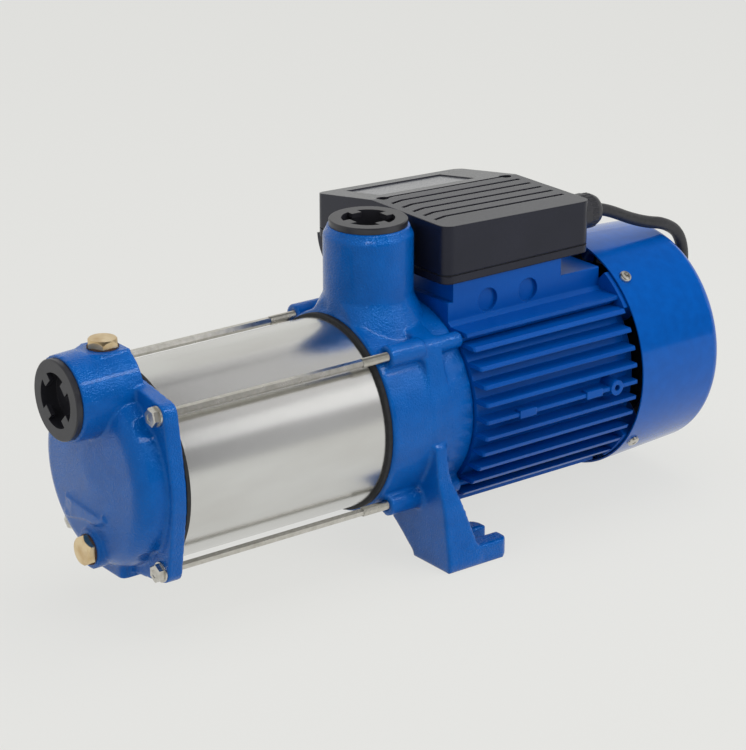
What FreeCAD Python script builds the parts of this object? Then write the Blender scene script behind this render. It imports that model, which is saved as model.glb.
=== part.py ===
import FreeCAD, Part
import math, os

# Multistage surface pump with an electric motor on one shaft.
# Millimetres. X runs along the shaft towards the motor, Y towards the far side, Z up.
# The origin is on the floor under the shaft, midway along the two feet. Everything is drawn about
# the shaft axis and lifted to its height when it is written.

# Feet and shaft height
SHAFT_HEIGHT = 90.0
FOOT_LENGTH = 48.0
FOOT_WIDTH = 36.0
FOOT_SPREAD = 80.0
FOOT_THICKNESS = 12.5
ANCHOR_SLOT_WIDTH = 10.0
ANCHOR_SLOT_DEPTH = 28.0
LEG_THICKNESS = 9.0
LEG_WEB = 10.0

# Clearances
SLIP = 0.3
SHAFT_CLEARANCE = 0.05
BOLT_CLEARANCE = 0.3
RUNNING_GAP = 0.4

# Pump sleeve, its gaskets and its tie bolts
SLEEVE_RADIUS = 60.0
SLEEVE_WALL = 1.2
CASING_SPIGOT = 2.0
BRACKET_SPIGOT = 12.3
SPIGOT_WALL = 7.0
GASKET_THICKNESS = 3.0
FRONT_GASKET_THICKNESS = 5.5
GASKET_LIP = 3.3
TIE_BOLTS = 4
TIE_OFFSET = 8.0
TIE_SHANK_RADIUS = 2.6
TIE_THREAD_RADIUS = 3.0
TIE_THREAD_LENGTH = 34.0
TIE_ENGAGEMENT = 16.0
TIE_HEAD_ACROSS = 10.0
TIE_HEAD_HEIGHT = 4.0
TIE_WASHER_RADIUS = 6.2
TIE_WASHER_THICKNESS = 1.2

# Stages
STAGES = 5
STAGE_PITCH = 25.0
STAGE_WALL = 3.0
STAGE_PLATE = 2.0
EYE_RADIUS = 16.5
EYE_WALL = 2.0
IMPELLER_RADIUS = 38.0
IMPELLER_FRONT_GAP = 1.2
IMPELLER_WIDTH = 8.5
SHROUD = 1.5
VANE_THICKNESS = 2.0
IMPELLER_VANES = 5
HUB_RADIUS = 11.0
HUB_LENGTH = 12.0
GUIDE_VANES = 6
GUIDE_GAP = 3.0
RETURN_CHANNEL = 9.0

# Shaft
SHAFT_RADIUS = 7.0
KEY_WIDTH = 4.0
KEY_DEPTH = 2.2
KEY_PROUD = 1.5
SHAFT_THREAD_RADIUS = 5.0
SHAFT_NUT_ACROSS = 17.0
SHAFT_NUT_HEIGHT = 8.0
SHAFT_STUB = 11.0
DRIVE_SHAFT_RADIUS = 8.5
ROTOR_SHAFT_RADIUS = 10.0
REAR_JOURNAL_RADIUS = 7.5
FAN_SEAT_RADIUS = 6.5

# Suction casing
CASING_FLANGE_RADIUS = 62.0
CASING_FLANGE = 7.0
CASING_WALL = 6.0
LUG_RADIUS = 7.0
DOME_BASE_RADIUS = 57.5
DOME_RADIUS = 56.0
DOME_LENGTH = 16.3
DOME_BULGE = 3.0
DOME_ROUND = 13.0
NOZZLE_HEIGHT = 51.3
NOZZLE_MOUTH_RADIUS = 25.7
NOZZLE_ROOT_RADIUS = 27.5
NOZZLE_REACH = 14.2
CASING_PAD_HALF = 14.0
CASING_PAD_DROP = 64.5
CASING_PAD_REACH = 6.0

# Threaded ports, G 1 1/4, and their caps
PORT_THREAD_RADIUS = 19.75
PORT_THREAD_LENGTH = 14.0
PORT_MOUTH_RADIUS = 21.0
PORT_MOUTH_DEPTH = 9.5
CAP_RADIUS = 24.2
CAP_FLANGE = 4.0
CAP_OPENING = 16.5
CAP_DEPTH = 10.5
CAP_LUG_WIDTH = 7.0
CAP_LUG_REACH = 5.0
CAP_LUG_THICKNESS = 3.0

# Brass plugs, G 1/4
PLUG_ACROSS = 17.0
PLUG_HEAD = 4.6
PLUG_THREAD_RADIUS = 6.5
PLUG_END_GAP = 0.4
PLUG_WASHER_RADIUS = 9.4
PLUG_WASHER = 0.8
PRIMING_PAD_HEIGHT = 77.0
PRIMING_SETBACK = 5.0
PRIMING_PAD_HALF = 12.0
DRAIN_DROP = 45.8
DRAIN_BOSS_REACH = 0.4
DRAIN_BOSS_RADIUS = 12.0

# Bracket with the discharge chamber
DRUM_RADIUS = 64.0
DRUM_LENGTH = 29.7
CHAMBER_RADIUS = 52.0
BRACKET_FLANGE_HALF = 66.0
BRACKET_FLANGE_CORNER = 72.5
BRACKET_FLANGE = 14.0
BELL_BACK_RADIUS = 62.5
BRACKET_LENGTH = 33.0
BRACKET_WALL = 5.5
SEAL_WALL = 5.0
SEAL_WALL_BACK = 14.0
SEAL_HOUSING_LENGTH = 15.0
SEAL_HOUSING_RADIUS = 19.0
PORT_SETBACK = 1.7
PORT_BOSS_RADIUS = 27.9
PORT_SHOULDER_HEIGHT = 110.0
PORT_RIM_HEIGHT = 115.5
PORT_RIM_RADIUS = 25.7
PORT_PASSAGE_RADIUS = 15.0
PORT_ROOT_HEIGHT = 72.0
PORT_ROOT_SPREAD = 4.0
LEG_OUTLINE_TOP = 11.0
ARCH_HALF_TOP = 22.0
ARCH_HALF_FLOOR = 44.0
ARCH_RISE = 20.0

# Shaft seal
SEAT_RADIUS = 13.0
SEAT_THICKNESS = 6.0
SEAT_BORE = 8.0
SEAL_FACE_RADIUS = 11.5
SEAL_FACE = 4.0
BELLOWS_RADIUS = 13.5
BELLOWS_LENGTH = 13.0
SLINGER_RADIUS = 15.0
SLINGER_THICKNESS = 3.0

# Bearings, 6203 in the bracket and 6202 in the rear shield
FRONT_BEARING_RADIUS = 20.0
FRONT_BEARING_WIDTH = 12.0
REAR_BEARING_RADIUS = 17.5
REAR_BEARING_WIDTH = 11.0
BEARING_RACE = 4.6
WAVE_WASHER = 1.0
BEARING_WALL = 5.0

# Motor
HOUSING_LENGTH = 123.0
HOUSING_WALL = 4.5
HOUSING_SPIGOT = 4.0
STATOR_RADIUS = 60.0
STATOR_BORE = 30.0
AIR_GAP = 0.3
CORE_LENGTH = 70.0
CORE_SETBACK = 26.0
WINDING_LENGTH = 17.0
WINDING_INNER = 34.0
WINDING_OUTER = 55.0
FIN_TIP_RADIUS = 75.0
FIN_PITCH = 10.9
FIN_THICKNESS = 2.6
FINS_EACH_WAY = 5
FIN_BEVEL = 1.0
FLAT_HALF = 35.0
FLAT_HEIGHT = 66.5
PAD_HALF = 35.0
PAD_FRONT = 4.0
PAD_LENGTH = 87.0
PAD_KNOCKOUT_RADIUS = 7.6
PAD_KNOCKOUT_DEPTH = 2.5
PAD_KNOCKOUT_PITCH = 32.5
PAD_KNOCKOUT_SETBACK = 27.5
LEDGE_HEIGHT = 52.0
LEDGE_ROUND = 3.0
FIN_PAD_LENGTH = 13.0
FIN_PAD_HEIGHT = 5.0
FIN_PAD_PROUD = 0.8
FIN_PAD_FIRST = 25.5
FIN_PAD_PITCH = 54.5
EARTH_BOSS_RADIUS = 5.0
MOTOR_BOLT_RADIUS = 2.5
MOTOR_BOLT_CIRCLE = 67.3
MOTOR_BOLT_ENGAGEMENT = 14.0
MOTOR_BOLT_ACROSS = 8.0
MOTOR_BOLT_HEAD = 3.5

# Rear shield, fan and fan cover
SHIELD_THICKNESS = 6.0
SHIELD_BOSS_LENGTH = 18.0
SHIELD_BOSS_ROOT = 52.0
SHIELD_BOSS_NARROW = 10.5
SHIELD_BOSS_WIDE = 16.5
SHIELD_HUB_RADIUS = 30.0
SHIELD_HUB_TAPER = 4.0
SHIELD_HUB_WALL = 6.0
SHIELD_HOLLOW_LIP = 5.0
COVER_FRONT_RADIUS = 77.1
COVER_REAR_RADIUS = 73.6
COVER_SETBACK = 3.3
COVER_LENGTH = 72.0
COVER_SHEET = 1.0
COVER_EDGE = 8.0
COVER_TURN = -6.7
COVER_SCREW_SETBACK = 8.0
COVER_SCREW_RADIUS = 2.0
COVER_SCREW_LENGTH = 9.0
COVER_SCREW_HEAD_RADIUS = 4.0
COVER_SCREW_HEAD = 2.4
GRILLE_RINGS = 4
GRILLE_SLOT = 5.0
GRILLE_PITCH = 12.5
GRILLE_INNER = 22.0
GRILLE_SPOKE = 9.0
FAN_RADIUS = 62.0
FAN_BLADES = 8
FAN_BLADE_WIDTH = 26.0
FAN_BLADE_THICKNESS = 2.5
FAN_HUB_RADIUS = 13.0
FAN_HUB_LENGTH = 20.0
FAN_DISC = 2.5
FAN_SETBACK = 10.0
CIRCLIP_THICKNESS = 1.0
CIRCLIP_WIDTH = 2.0

# Terminal box
BOX_FRONT_OVERHANG = 4.0
BOX_LENGTH = 118.0
BOX_NEAR = 37.0
BOX_FAR = 98.0
BOX_FLOOR_HEIGHT = 79.0
BOX_SEAM = 5.0
BOX_HEIGHT = 37.0
BOX_TOP_FALL = 3.5
BOX_KINK = 38.0
BOX_SLOPE_DROP = 9.5
BOX_WALL = 2.5
BOX_CORNER = 7.0
BOX_GASKET = 0.8
BOX_GROOVES = 6
BOX_GROOVE_PITCH = 10.8
BOX_GROOVE_WIDTH = 2.4
BOX_GROOVE_DEPTH = 1.5
BOX_GROOVE_END = 6.0
BOX_GROOVE_FIRST = -16.0
BOX_GROOVE_BEND = 10.0
BOX_GROOVE_DRIFT = 3.0
LABEL_RECESS_DEPTH = 0.8
LABEL_NEAR = 50.0
LABEL_FAR = 86.0
LABEL_FRONT = 16.0
LABEL_LENGTH = 77.0
CAPACITOR_BAY_RADIUS = 28.5
CAPACITOR_BAY_Y = 69.0
CAPACITOR_BAY_RISE = 3.5
CAPACITOR_RADIUS = 18.0
CAPACITOR_LENGTH = 72.0
BOX_SCREW_INSET = 9.0
BOX_SCREW_RADIUS = 1.9
BOX_SCREW_HEAD_RADIUS = 3.6
BOX_SCREW_SINK = 4.0
BOX_SCREW_BOSS = 5.2
TERMINAL_LENGTH = 46.0
TERMINAL_WIDTH = 22.0
TERMINAL_HEIGHT = 15.0

# Cable gland, cord and plug
GLAND_Y = -19.0
GLAND_RISE = 20.5
GLAND_THREAD_RADIUS = 8.0
GLAND_BODY_RADIUS = 12.0
GLAND_BODY_LENGTH = 7.0
GLAND_NUT_RADIUS = 11.5
GLAND_NUT_LENGTH = 12.0
GLAND_MOUTH_RADIUS = 6.2
CORD_RADIUS = 4.0
CORD_GAP = 0.3
CORD_COVER_GAP = 1.0
COIL_X = 60.0
COIL_Y = 168.0
COIL_MEAN_RADIUS = 44.0
COIL_TURNS_WIDE = 2
COIL_TURNS_HIGH = 2
PLUG_BODY_RADIUS = 18.5
PLUG_BODY_LENGTH = 30.0
PLUG_PIN_RADIUS = 2.4
PLUG_PIN_LENGTH = 19.0
PLUG_PIN_ROOT = 9.0
PLUG_PIN_SPACING = 19.0
RELIEF_LENGTH = 28.0
RELIEF_RADIUS = 7.0

# Stations along the shaft, worked out from the sizes above
FLOOR = -SHAFT_HEIGHT
FLANGE_FRONT = -FOOT_LENGTH / 2
BRACKET_FRONT = FLANGE_FRONT - DRUM_LENGTH
BRACKET_BACK = FLANGE_FRONT + BRACKET_LENGTH
SLEEVE_BACK = BRACKET_FRONT - GASKET_THICKNESS
STACK_LENGTH = STAGE_PLATE + STAGES * STAGE_PITCH
SLEEVE_LENGTH = CASING_SPIGOT + STACK_LENGTH + BRACKET_SPIGOT
SLEEVE_FRONT = SLEEVE_BACK - SLEEVE_LENGTH
STACK_FRONT = SLEEVE_FRONT + CASING_SPIGOT
FIRST_STAGE = STACK_FRONT + STAGE_PLATE
STACK_BACK = STACK_FRONT + STACK_LENGTH
CASING_BACK = SLEEVE_FRONT - FRONT_GASKET_THICKNESS
CASING_FACE = CASING_BACK - CASING_FLANGE
DOME_FRONT = CASING_FACE - DOME_LENGTH
CASING_TIP = DOME_FRONT - DOME_BULGE
NOZZLE_MOUTH = CASING_TIP - NOZZLE_REACH
TIE_RADIUS = SLEEVE_RADIUS + TIE_OFFSET
SPIGOT_RADIUS = SLEEVE_RADIUS - SLEEVE_WALL - SLIP
PRIMING_X = CASING_FACE - PRIMING_SETBACK
PLUG_THREAD_LENGTH = PRIMING_PAD_HEIGHT - NOZZLE_HEIGHT - PORT_THREAD_RADIUS - PLUG_END_GAP
DRAIN_SEAT = CASING_TIP - DRAIN_BOSS_REACH
PORT_X = FLANGE_FRONT - PORT_SETBACK
SEAL_WALL_X = BRACKET_BACK - FRONT_BEARING_WIDTH - SEAL_WALL_BACK
SEAL_MOUTH = SEAL_WALL_X - SEAL_HOUSING_LENGTH
FRONT_BEARING_X = BRACKET_BACK - 1.0 - FRONT_BEARING_WIDTH
HOUSING_BACK = BRACKET_BACK + HOUSING_LENGTH
CORE_FRONT = BRACKET_BACK + CORE_SETBACK
CORE_BACK = CORE_FRONT + CORE_LENGTH
HOUSING_RADIUS = STATOR_RADIUS + HOUSING_WALL
SHIELD_BACK = HOUSING_BACK + SHIELD_BOSS_LENGTH
REAR_BEARING_X = HOUSING_BACK - 2.0
COVER_FRONT = HOUSING_BACK + COVER_SETBACK
COVER_BACK = COVER_FRONT + COVER_LENGTH
COVER_SCREW_X = COVER_FRONT + COVER_SCREW_SETBACK
FAN_BACK = SHIELD_BACK + FAN_SETBACK + FAN_HUB_LENGTH
SHAFT_END = FAN_BACK + CIRCLIP_THICKNESS + 4.0
BOX_X0 = BRACKET_BACK - BOX_FRONT_OVERHANG
BOX_X1 = BOX_X0 + BOX_LENGTH
BOX_SEAM_HEIGHT = BOX_FLOOR_HEIGHT + BOX_SEAM
BOX_TOP_HEIGHT = BOX_FLOOR_HEIGHT + BOX_HEIGHT
CAPACITOR_BAY_HEIGHT = BOX_FLOOR_HEIGHT + CAPACITOR_BAY_RISE
GLAND_HEIGHT = BOX_FLOOR_HEIGHT + GLAND_RISE
PAD_X0 = BRACKET_BACK + PAD_FRONT


def V(x, y, z):
    return FreeCAD.Vector(x, y, z)


def bar(radius, x0, x1, y=0.0, z=0.0):
    """Round bar along the shaft direction."""
    return Part.makeCylinder(radius, x1 - x0, V(x0, y, z), V(1, 0, 0))


def post(radius, z0, z1, x, y=0.0):
    """Round bar standing upright."""
    return Part.makeCylinder(radius, z1 - z0, V(x, y, z0), V(0, 0, 1))


def block(x0, x1, y0, y1, z0, z1):
    return Part.makeBox(x1 - x0, y1 - y0, z1 - z0, V(x0, y0, z0))


def ring(outer, inner, x0, x1, y=0.0, z=0.0):
    """Flat ring or sleeve about a line along the shaft direction."""
    return bar(outer, x0, x1, y, z).cut(bar(inner, x0, x1, y, z))


def rounded_wire(corners, place):
    """Closed outline through corners (u, v, radius), rounded, or chamfered where it is negative."""
    spans = []
    count = len(corners)
    for i in range(count):
        u, v, radius = corners[i]
        here = FreeCAD.Vector(u, v, 0)
        back = FreeCAD.Vector(corners[i - 1][0], corners[i - 1][1], 0) - here
        ahead = FreeCAD.Vector(corners[(i + 1) % count][0], corners[(i + 1) % count][1], 0) - here
        back.normalize()
        ahead.normalize()
        if radius <= 0:
            spans.append((here - back * radius, None, here - ahead * radius))
            continue
        half = math.acos(max(-1.0, min(1.0, back.dot(ahead)))) / 2
        reach = radius / math.tan(half)
        middle = back + ahead
        middle.normalize()
        spans.append((here + back * reach, here + middle * (radius / math.sin(half) - radius),
                      here + ahead * reach))
    edges = []
    for i in range(count):
        start, top, end = spans[i]
        following = spans[(i + 1) % count][0]
        if top is not None:
            edges.append(Part.Arc(place(start.x, start.y), place(top.x, top.y), place(end.x, end.y)).toShape())
        elif (end - start).Length > 1e-6:
            edges.append(Part.makeLine(place(start.x, start.y), place(end.x, end.y)))
        if (following - end).Length > 1e-6:
            edges.append(Part.makeLine(place(end.x, end.y), place(following.x, following.y)))
    return Part.Wire(edges)


def turned(profile):
    """Solid of revolution about the shaft from a profile of (x, radius, rounding)."""
    face = Part.Face(rounded_wire(profile, lambda u, v: V(u, 0, v)))
    return face.revolve(V(0, 0, 0), V(1, 0, 0), 360)


def plate_x(outline, x0, x1):
    """Plate square to the shaft from an outline of (y, z, rounding)."""
    return Part.Face(rounded_wire(outline, lambda u, v: V(x0, u, v))).extrude(V(x1 - x0, 0, 0))


def plate_z(outline, z0, z1):
    """Level plate from an outline of (x, y, rounding)."""
    return Part.Face(rounded_wire(outline, lambda u, v: V(u, v, z0))).extrude(V(0, 0, z1 - z0))


def on_circle(radius, degrees):
    """Place (y, z) on a circle about the shaft, at an angle from straight up towards the near side."""
    a = math.radians(degrees)
    return -radius * math.sin(a), radius * math.cos(a)


def turned_by(shape, degrees):
    copy = shape.copy()
    copy.rotate(V(0, 0, 0), V(1, 0, 0), degrees)
    return copy


def repeated(shape, count, first=0.0):
    """Equal copies about the shaft."""
    return [turned_by(shape, first + i * 360.0 / count) for i in range(count)]


def mirrored(shape):
    """Copy on the other side of the vertical plane through the shaft."""
    return shape.mirror(V(0, 0, 0), V(0, 1, 0))


def hexagon(across, start, height, direction):
    """Hexagonal prism; start is the middle of its first face."""
    corner = across / math.sqrt(3)
    points = [V(corner * math.cos(math.radians(60 * i)), corner * math.sin(math.radians(60 * i)), 0)
              for i in range(6)]
    prism = Part.Face(Part.makePolygon(points + [points[0]])).extrude(V(0, 0, height))
    prism.Placement = FreeCAD.Placement(start, FreeCAD.Rotation(V(0, 0, 1), direction))
    return prism


def joined(first, others):
    return first.fuse(others).removeSplitter()


def corner_angles():
    return [45.0 + i * 360.0 / TIE_BOLTS for i in range(TIE_BOLTS)]


def save(name, shape):
    """Write one piece, lifted so that the feet stand on the floor."""
    solids = [s for s in shape.Solids]
    lifted = [s.translated(V(0, 0, SHAFT_HEIGHT)) for s in solids]
    piece = lifted[0] if len(lifted) == 1 else Part.makeCompound(lifted)
    piece.exportStep("parts/" + name + ".step")
    return piece


# Suction casing
def lobed_outline(radius, lobe_circle, lobe_radius):
    """Round outline drawn out at a tangent to four rounded corners."""
    flank = math.acos((radius - lobe_radius) / lobe_circle)
    apex = radius / math.cos(flank)
    middle = radius / math.cos(math.pi / 4 - flank)
    outline = []
    for angle in corner_angles():
        y, z = on_circle(middle, angle - 45)
        outline.append((y, z, radius))
        y, z = on_circle(apex, angle)
        outline.append((y, z, lobe_radius))
    return outline


def suction_casing():
    body = turned([(CASING_BACK, 0, 0), (CASING_BACK, DOME_BASE_RADIUS, 0), (CASING_FACE, DOME_BASE_RADIUS, 0),
                   (DOME_FRONT, DOME_RADIUS, DOME_ROUND), (CASING_TIP, 0, 0)])
    flange = plate_x(lobed_outline(CASING_FLANGE_RADIUS, TIE_RADIUS, LUG_RADIUS), CASING_FACE, CASING_BACK)
    nozzle = Part.makeCone(NOZZLE_MOUTH_RADIUS, NOZZLE_ROOT_RADIUS, CASING_BACK - 1.0 - NOZZLE_MOUTH,
                           V(NOZZLE_MOUTH, 0, NOZZLE_HEIGHT), V(1, 0, 0))
    pad_x0 = PRIMING_X - PLUG_WASHER_RADIUS - 4.6
    pad_x1 = PRIMING_X + PLUG_WASHER_RADIUS + 2.0
    half = PRIMING_PAD_HALF
    pad_outline = [(pad_x0, half - 5, 0), (pad_x0, 5 - half, 0), (pad_x0 + 6, -half, 0), (pad_x1, -half, 0),
                   (pad_x1, half, 0), (pad_x0 + 6, half, 0)]
    pad = plate_z(pad_outline, NOZZLE_HEIGHT, PRIMING_PAD_HEIGHT)
    drain_boss = bar(DRAIN_BOSS_RADIUS, DRAIN_SEAT, CASING_FACE, 0, -DRAIN_DROP)
    half = CASING_PAD_HALF
    foot_pad = plate_z([(CASING_FACE - CASING_PAD_REACH, half, 4), (CASING_FACE - CASING_PAD_REACH, -half, 4),
                        (CASING_BACK, -half, 0), (CASING_BACK, half, 0)], -CASING_PAD_DROP, -45)
    body = joined(body, [flange, nozzle, pad, drain_boss, foot_pad])
    spigot = ring(SPIGOT_RADIUS, SPIGOT_RADIUS - SPIGOT_WALL, CASING_BACK - 1.0, STACK_FRONT)
    body = joined(body, [spigot])

    bore = SPIGOT_RADIUS - SPIGOT_WALL
    cavity = turned([(STACK_FRONT + 1, 0, 0), (STACK_FRONT + 1, bore, 0),
                     (CASING_FACE - 2, bore, 0), (DOME_FRONT + CASING_WALL, DOME_RADIUS - CASING_WALL - 3, -9),
                     (CASING_TIP + CASING_WALL + 1, 0, 0)])
    mouth = bar(PORT_MOUTH_RADIUS, NOZZLE_MOUTH - 1, NOZZLE_MOUTH + PORT_MOUTH_DEPTH, 0, NOZZLE_HEIGHT)
    thread_end = NOZZLE_MOUTH + PORT_MOUTH_DEPTH + PORT_THREAD_LENGTH
    thread = bar(PORT_THREAD_RADIUS, NOZZLE_MOUTH, thread_end, 0, NOZZLE_HEIGHT)
    passage = bar(PORT_THREAD_RADIUS - 1.5, thread_end - 1, CASING_FACE, 0, NOZZLE_HEIGHT)
    priming_hole = post(PLUG_THREAD_RADIUS + SLIP, NOZZLE_HEIGHT, PRIMING_PAD_HEIGHT + 1, PRIMING_X)
    spot_face = bar(DRAIN_BOSS_RADIUS, CASING_TIP - 5, DRAIN_SEAT, 0, -DRAIN_DROP)
    drain_hole = bar(PLUG_THREAD_RADIUS + SLIP, DRAIN_SEAT - 1, CASING_FACE - 5, 0, -DRAIN_DROP)
    pad_face = plate_z(pad_outline, PRIMING_PAD_HEIGHT, PRIMING_PAD_HEIGHT + 5)
    cuts = [cavity, mouth, thread, passage, priming_hole, pad_face, spot_face, drain_hole]
    for angle in corner_angles():
        y, z = on_circle(TIE_RADIUS, angle)
        cuts.append(bar(TIE_SHANK_RADIUS + BOLT_CLEARANCE, CASING_FACE - 1, CASING_BACK + 1, y, z))
        cuts.append(bar(TIE_WASHER_RADIUS + 6.5, CASING_TIP, CASING_FACE, y, z))
    return body.cut(cuts)


def port_cap():
    """Screw cap drawn with its flange on the plane x = 0, pointing to -X."""
    body = bar(CAP_RADIUS, -CAP_FLANGE, 0)
    body = body.makeChamfer(0.6, [e for e in body.Edges if e.BoundBox.XMax < -CAP_FLANGE + 0.01])
    skirt = bar(PORT_MOUTH_RADIUS - SLIP, -0.5, PORT_MOUTH_DEPTH - SLIP)
    body = joined(body, [skirt]).cut(bar(CAP_OPENING, -CAP_FLANGE - 1, CAP_DEPTH - CAP_FLANGE))
    lug = block(-CAP_FLANGE, -CAP_FLANGE + CAP_LUG_THICKNESS, -CAP_LUG_WIDTH / 2, CAP_LUG_WIDTH / 2,
                CAP_OPENING - CAP_LUG_REACH, CAP_OPENING + 1)
    return joined(body, repeated(lug, 4))


def suction_port_cap():
    return turned_by(port_cap(), 45).translated(V(NOZZLE_MOUTH, 0, NOZZLE_HEIGHT))


def discharge_port_cap():
    cap = port_cap()
    cap.rotate(V(0, 0, 0), V(0, 1, 0), 90)
    return cap.translated(V(PORT_X, 0, PORT_RIM_HEIGHT))


def hex_plug(seat, direction):
    """Hexagon-head screw plug that clamps its washer on a seat."""
    head = hexagon(PLUG_ACROSS, seat + direction * PLUG_WASHER, PLUG_HEAD, direction)
    crown = Part.makeCone(PLUG_ACROSS * 0.70, PLUG_ACROSS / 2 - 0.5, PLUG_HEAD,
                          seat + direction * PLUG_WASHER, direction)
    thread = Part.makeCylinder(PLUG_THREAD_RADIUS, PLUG_THREAD_LENGTH + PLUG_WASHER,
                               seat - direction * PLUG_THREAD_LENGTH, direction)
    return joined(head.common(crown), [thread])


def priming_plug():
    return hex_plug(V(PRIMING_X, 0, PRIMING_PAD_HEIGHT), V(0, 0, 1))


def drain_plug():
    return hex_plug(V(DRAIN_SEAT, 0, -DRAIN_DROP), V(-1, 0, 0))


def plug_washers():
    washer = Part.makeCylinder(PLUG_WASHER_RADIUS, PLUG_WASHER).cut(
        Part.makeCylinder(PLUG_THREAD_RADIUS + SLIP, PLUG_WASHER))
    upper = washer.translated(V(PRIMING_X, 0, PRIMING_PAD_HEIGHT))
    lower = washer.copy()
    lower.rotate(V(0, 0, 0), V(0, 1, 0), -90)
    return Part.makeCompound([upper, lower.translated(V(DRAIN_SEAT, 0, -DRAIN_DROP))])


# Sleeve, gaskets and tie bolts
def pump_sleeve():
    return ring(SLEEVE_RADIUS, SLEEVE_RADIUS - SLEEVE_WALL, SLEEVE_FRONT, SLEEVE_BACK)


def sleeve_gasket(x0, thickness):
    return ring(SLEEVE_RADIUS + GASKET_LIP, SPIGOT_RADIUS + SLIP, x0, x0 + thickness)


def tie_bolt_seat():
    return CASING_FACE - TIE_WASHER_THICKNESS


def tie_bolt_end():
    return BRACKET_FRONT + 5.0 + TIE_ENGAGEMENT


def sleeve_tie_bolts():
    bolts = []
    thread_start = tie_bolt_end() - TIE_THREAD_LENGTH
    for angle in corner_angles():
        y, z = on_circle(TIE_RADIUS, angle)
        head = hexagon(TIE_HEAD_ACROSS, V(tie_bolt_seat(), y, z), TIE_HEAD_HEIGHT, V(-1, 0, 0))
        shank = bar(TIE_SHANK_RADIUS, tie_bolt_seat(), thread_start, y, z)
        thread = bar(TIE_THREAD_RADIUS, thread_start, tie_bolt_end(), y, z)
        bolts.append(joined(head, [shank, thread]))
    return Part.makeCompound(bolts)


def tie_bolt_washers():
    washers = []
    for angle in corner_angles():
        y, z = on_circle(TIE_RADIUS, angle)
        washers.append(ring(TIE_WASHER_RADIUS, TIE_SHANK_RADIUS + BOLT_CLEARANCE, tie_bolt_seat(),
                            CASING_FACE, y, z))
    return Part.makeCompound(washers)


# Stages
def vane(points, thickness, x0, x1):
    """Curved vane between two planes from three middle points (radius, degrees)."""
    sides = []
    for side in (-1, 1):
        row = []
        for radius, degrees in points:
            y, z = on_circle(radius, degrees + side * math.degrees(thickness / 2 / radius))
            row.append(V(x0, y, z))
        sides.append(row)
    low, high = sides
    edges = [Part.Arc(*low).toShape(), Part.makeLine(low[2], high[2]),
             Part.Arc(high[2], high[1], high[0]).toShape(), Part.makeLine(high[0], low[0])]
    return Part.Face(Part.Wire(edges)).extrude(V(x1 - x0, 0, 0))


def inlet_plate():
    """Flat ring in front of the first impeller; the impeller's eye runs in its hole."""
    eye = EYE_RADIUS + EYE_WALL + RUNNING_GAP
    return ring(SPIGOT_RADIUS, eye, STACK_FRONT, FIRST_STAGE)


def stage_casing(index):
    """Stage ring with guide vanes, middle plate, return vanes and the next stage's eye plate."""
    x0 = FIRST_STAGE + index * STAGE_PITCH
    x1 = x0 + STAGE_PITCH
    disc = x0 + IMPELLER_FRONT_GAP + IMPELLER_WIDTH + IMPELLER_FRONT_GAP
    inner = SPIGOT_RADIUS - STAGE_WALL
    wall = ring(SPIGOT_RADIUS, inner, x0, x1)
    middle = ring(inner - 5.0, HUB_RADIUS + RUNNING_GAP, disc, disc + STAGE_PLATE)
    eye_plate = ring(inner + 1.0, EYE_RADIUS + EYE_WALL + RUNNING_GAP, x1 - STAGE_PLATE, x1)
    start = IMPELLER_RADIUS + GUIDE_GAP
    guide = vane([(start, 0), ((start + inner) / 2, 14), (inner + 1, 24)], VANE_THICKNESS,
                 x0 + IMPELLER_FRONT_GAP, disc + 0.5)
    back = vane([(EYE_RADIUS + 9, 40), ((start + inner) / 2 - 8, 14), (inner + 1, 0)], VANE_THICKNESS,
                disc + 0.5, x1 - STAGE_PLATE + 0.5)
    return joined(wall, [middle, eye_plate] + repeated(guide, GUIDE_VANES) + repeated(back, GUIDE_VANES))


def keyway(x0, x1, depth_above, clearance=0.0):
    """Slot or key bar along the shaft, from its keyway floor to above its surface."""
    half = KEY_WIDTH / 2 + clearance
    return block(x0, x1, -half, half, SHAFT_RADIUS - KEY_DEPTH, SHAFT_RADIUS + depth_above)


def impeller(index):
    """Closed impeller with an eye neck, backward vanes and a keyed hub."""
    x0 = FIRST_STAGE + index * STAGE_PITCH + IMPELLER_FRONT_GAP
    x1 = x0 + IMPELLER_WIDTH
    neck = ring(EYE_RADIUS + EYE_WALL, EYE_RADIUS, x0 - IMPELLER_FRONT_GAP - STAGE_PLATE + 0.4, x0 + 0.5)
    front = ring(IMPELLER_RADIUS, EYE_RADIUS, x0, x0 + SHROUD)
    rear = bar(IMPELLER_RADIUS, x1 - SHROUD, x1)
    hub = bar(HUB_RADIUS, x1 - HUB_LENGTH + 4.0, x1 + 4.0)
    blade = vane([(EYE_RADIUS + 1, 0), (IMPELLER_RADIUS * 0.72, -32), (IMPELLER_RADIUS - 0.5, -62)],
                 VANE_THICKNESS, x0 + SHROUD / 2, x1 - SHROUD / 2)
    body = joined(rear, [hub, front, neck] + repeated(blade, IMPELLER_VANES))
    return body.cut([bar(SHAFT_RADIUS + SHAFT_CLEARANCE, x0 - 20, x1 + 20),
                     keyway(x0 - 20, x1 + 20, KEY_PROUD + SHAFT_CLEARANCE, SHAFT_CLEARANCE)])


def hub_front(index):
    return (FIRST_STAGE + index * STAGE_PITCH + IMPELLER_FRONT_GAP + IMPELLER_WIDTH
            - HUB_LENGTH + 4.0)


def hub_back(index):
    return hub_front(index) + HUB_LENGTH


def seal_head_front():
    return SEAL_MOUTH - SEAL_FACE - BELLOWS_LENGTH


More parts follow.
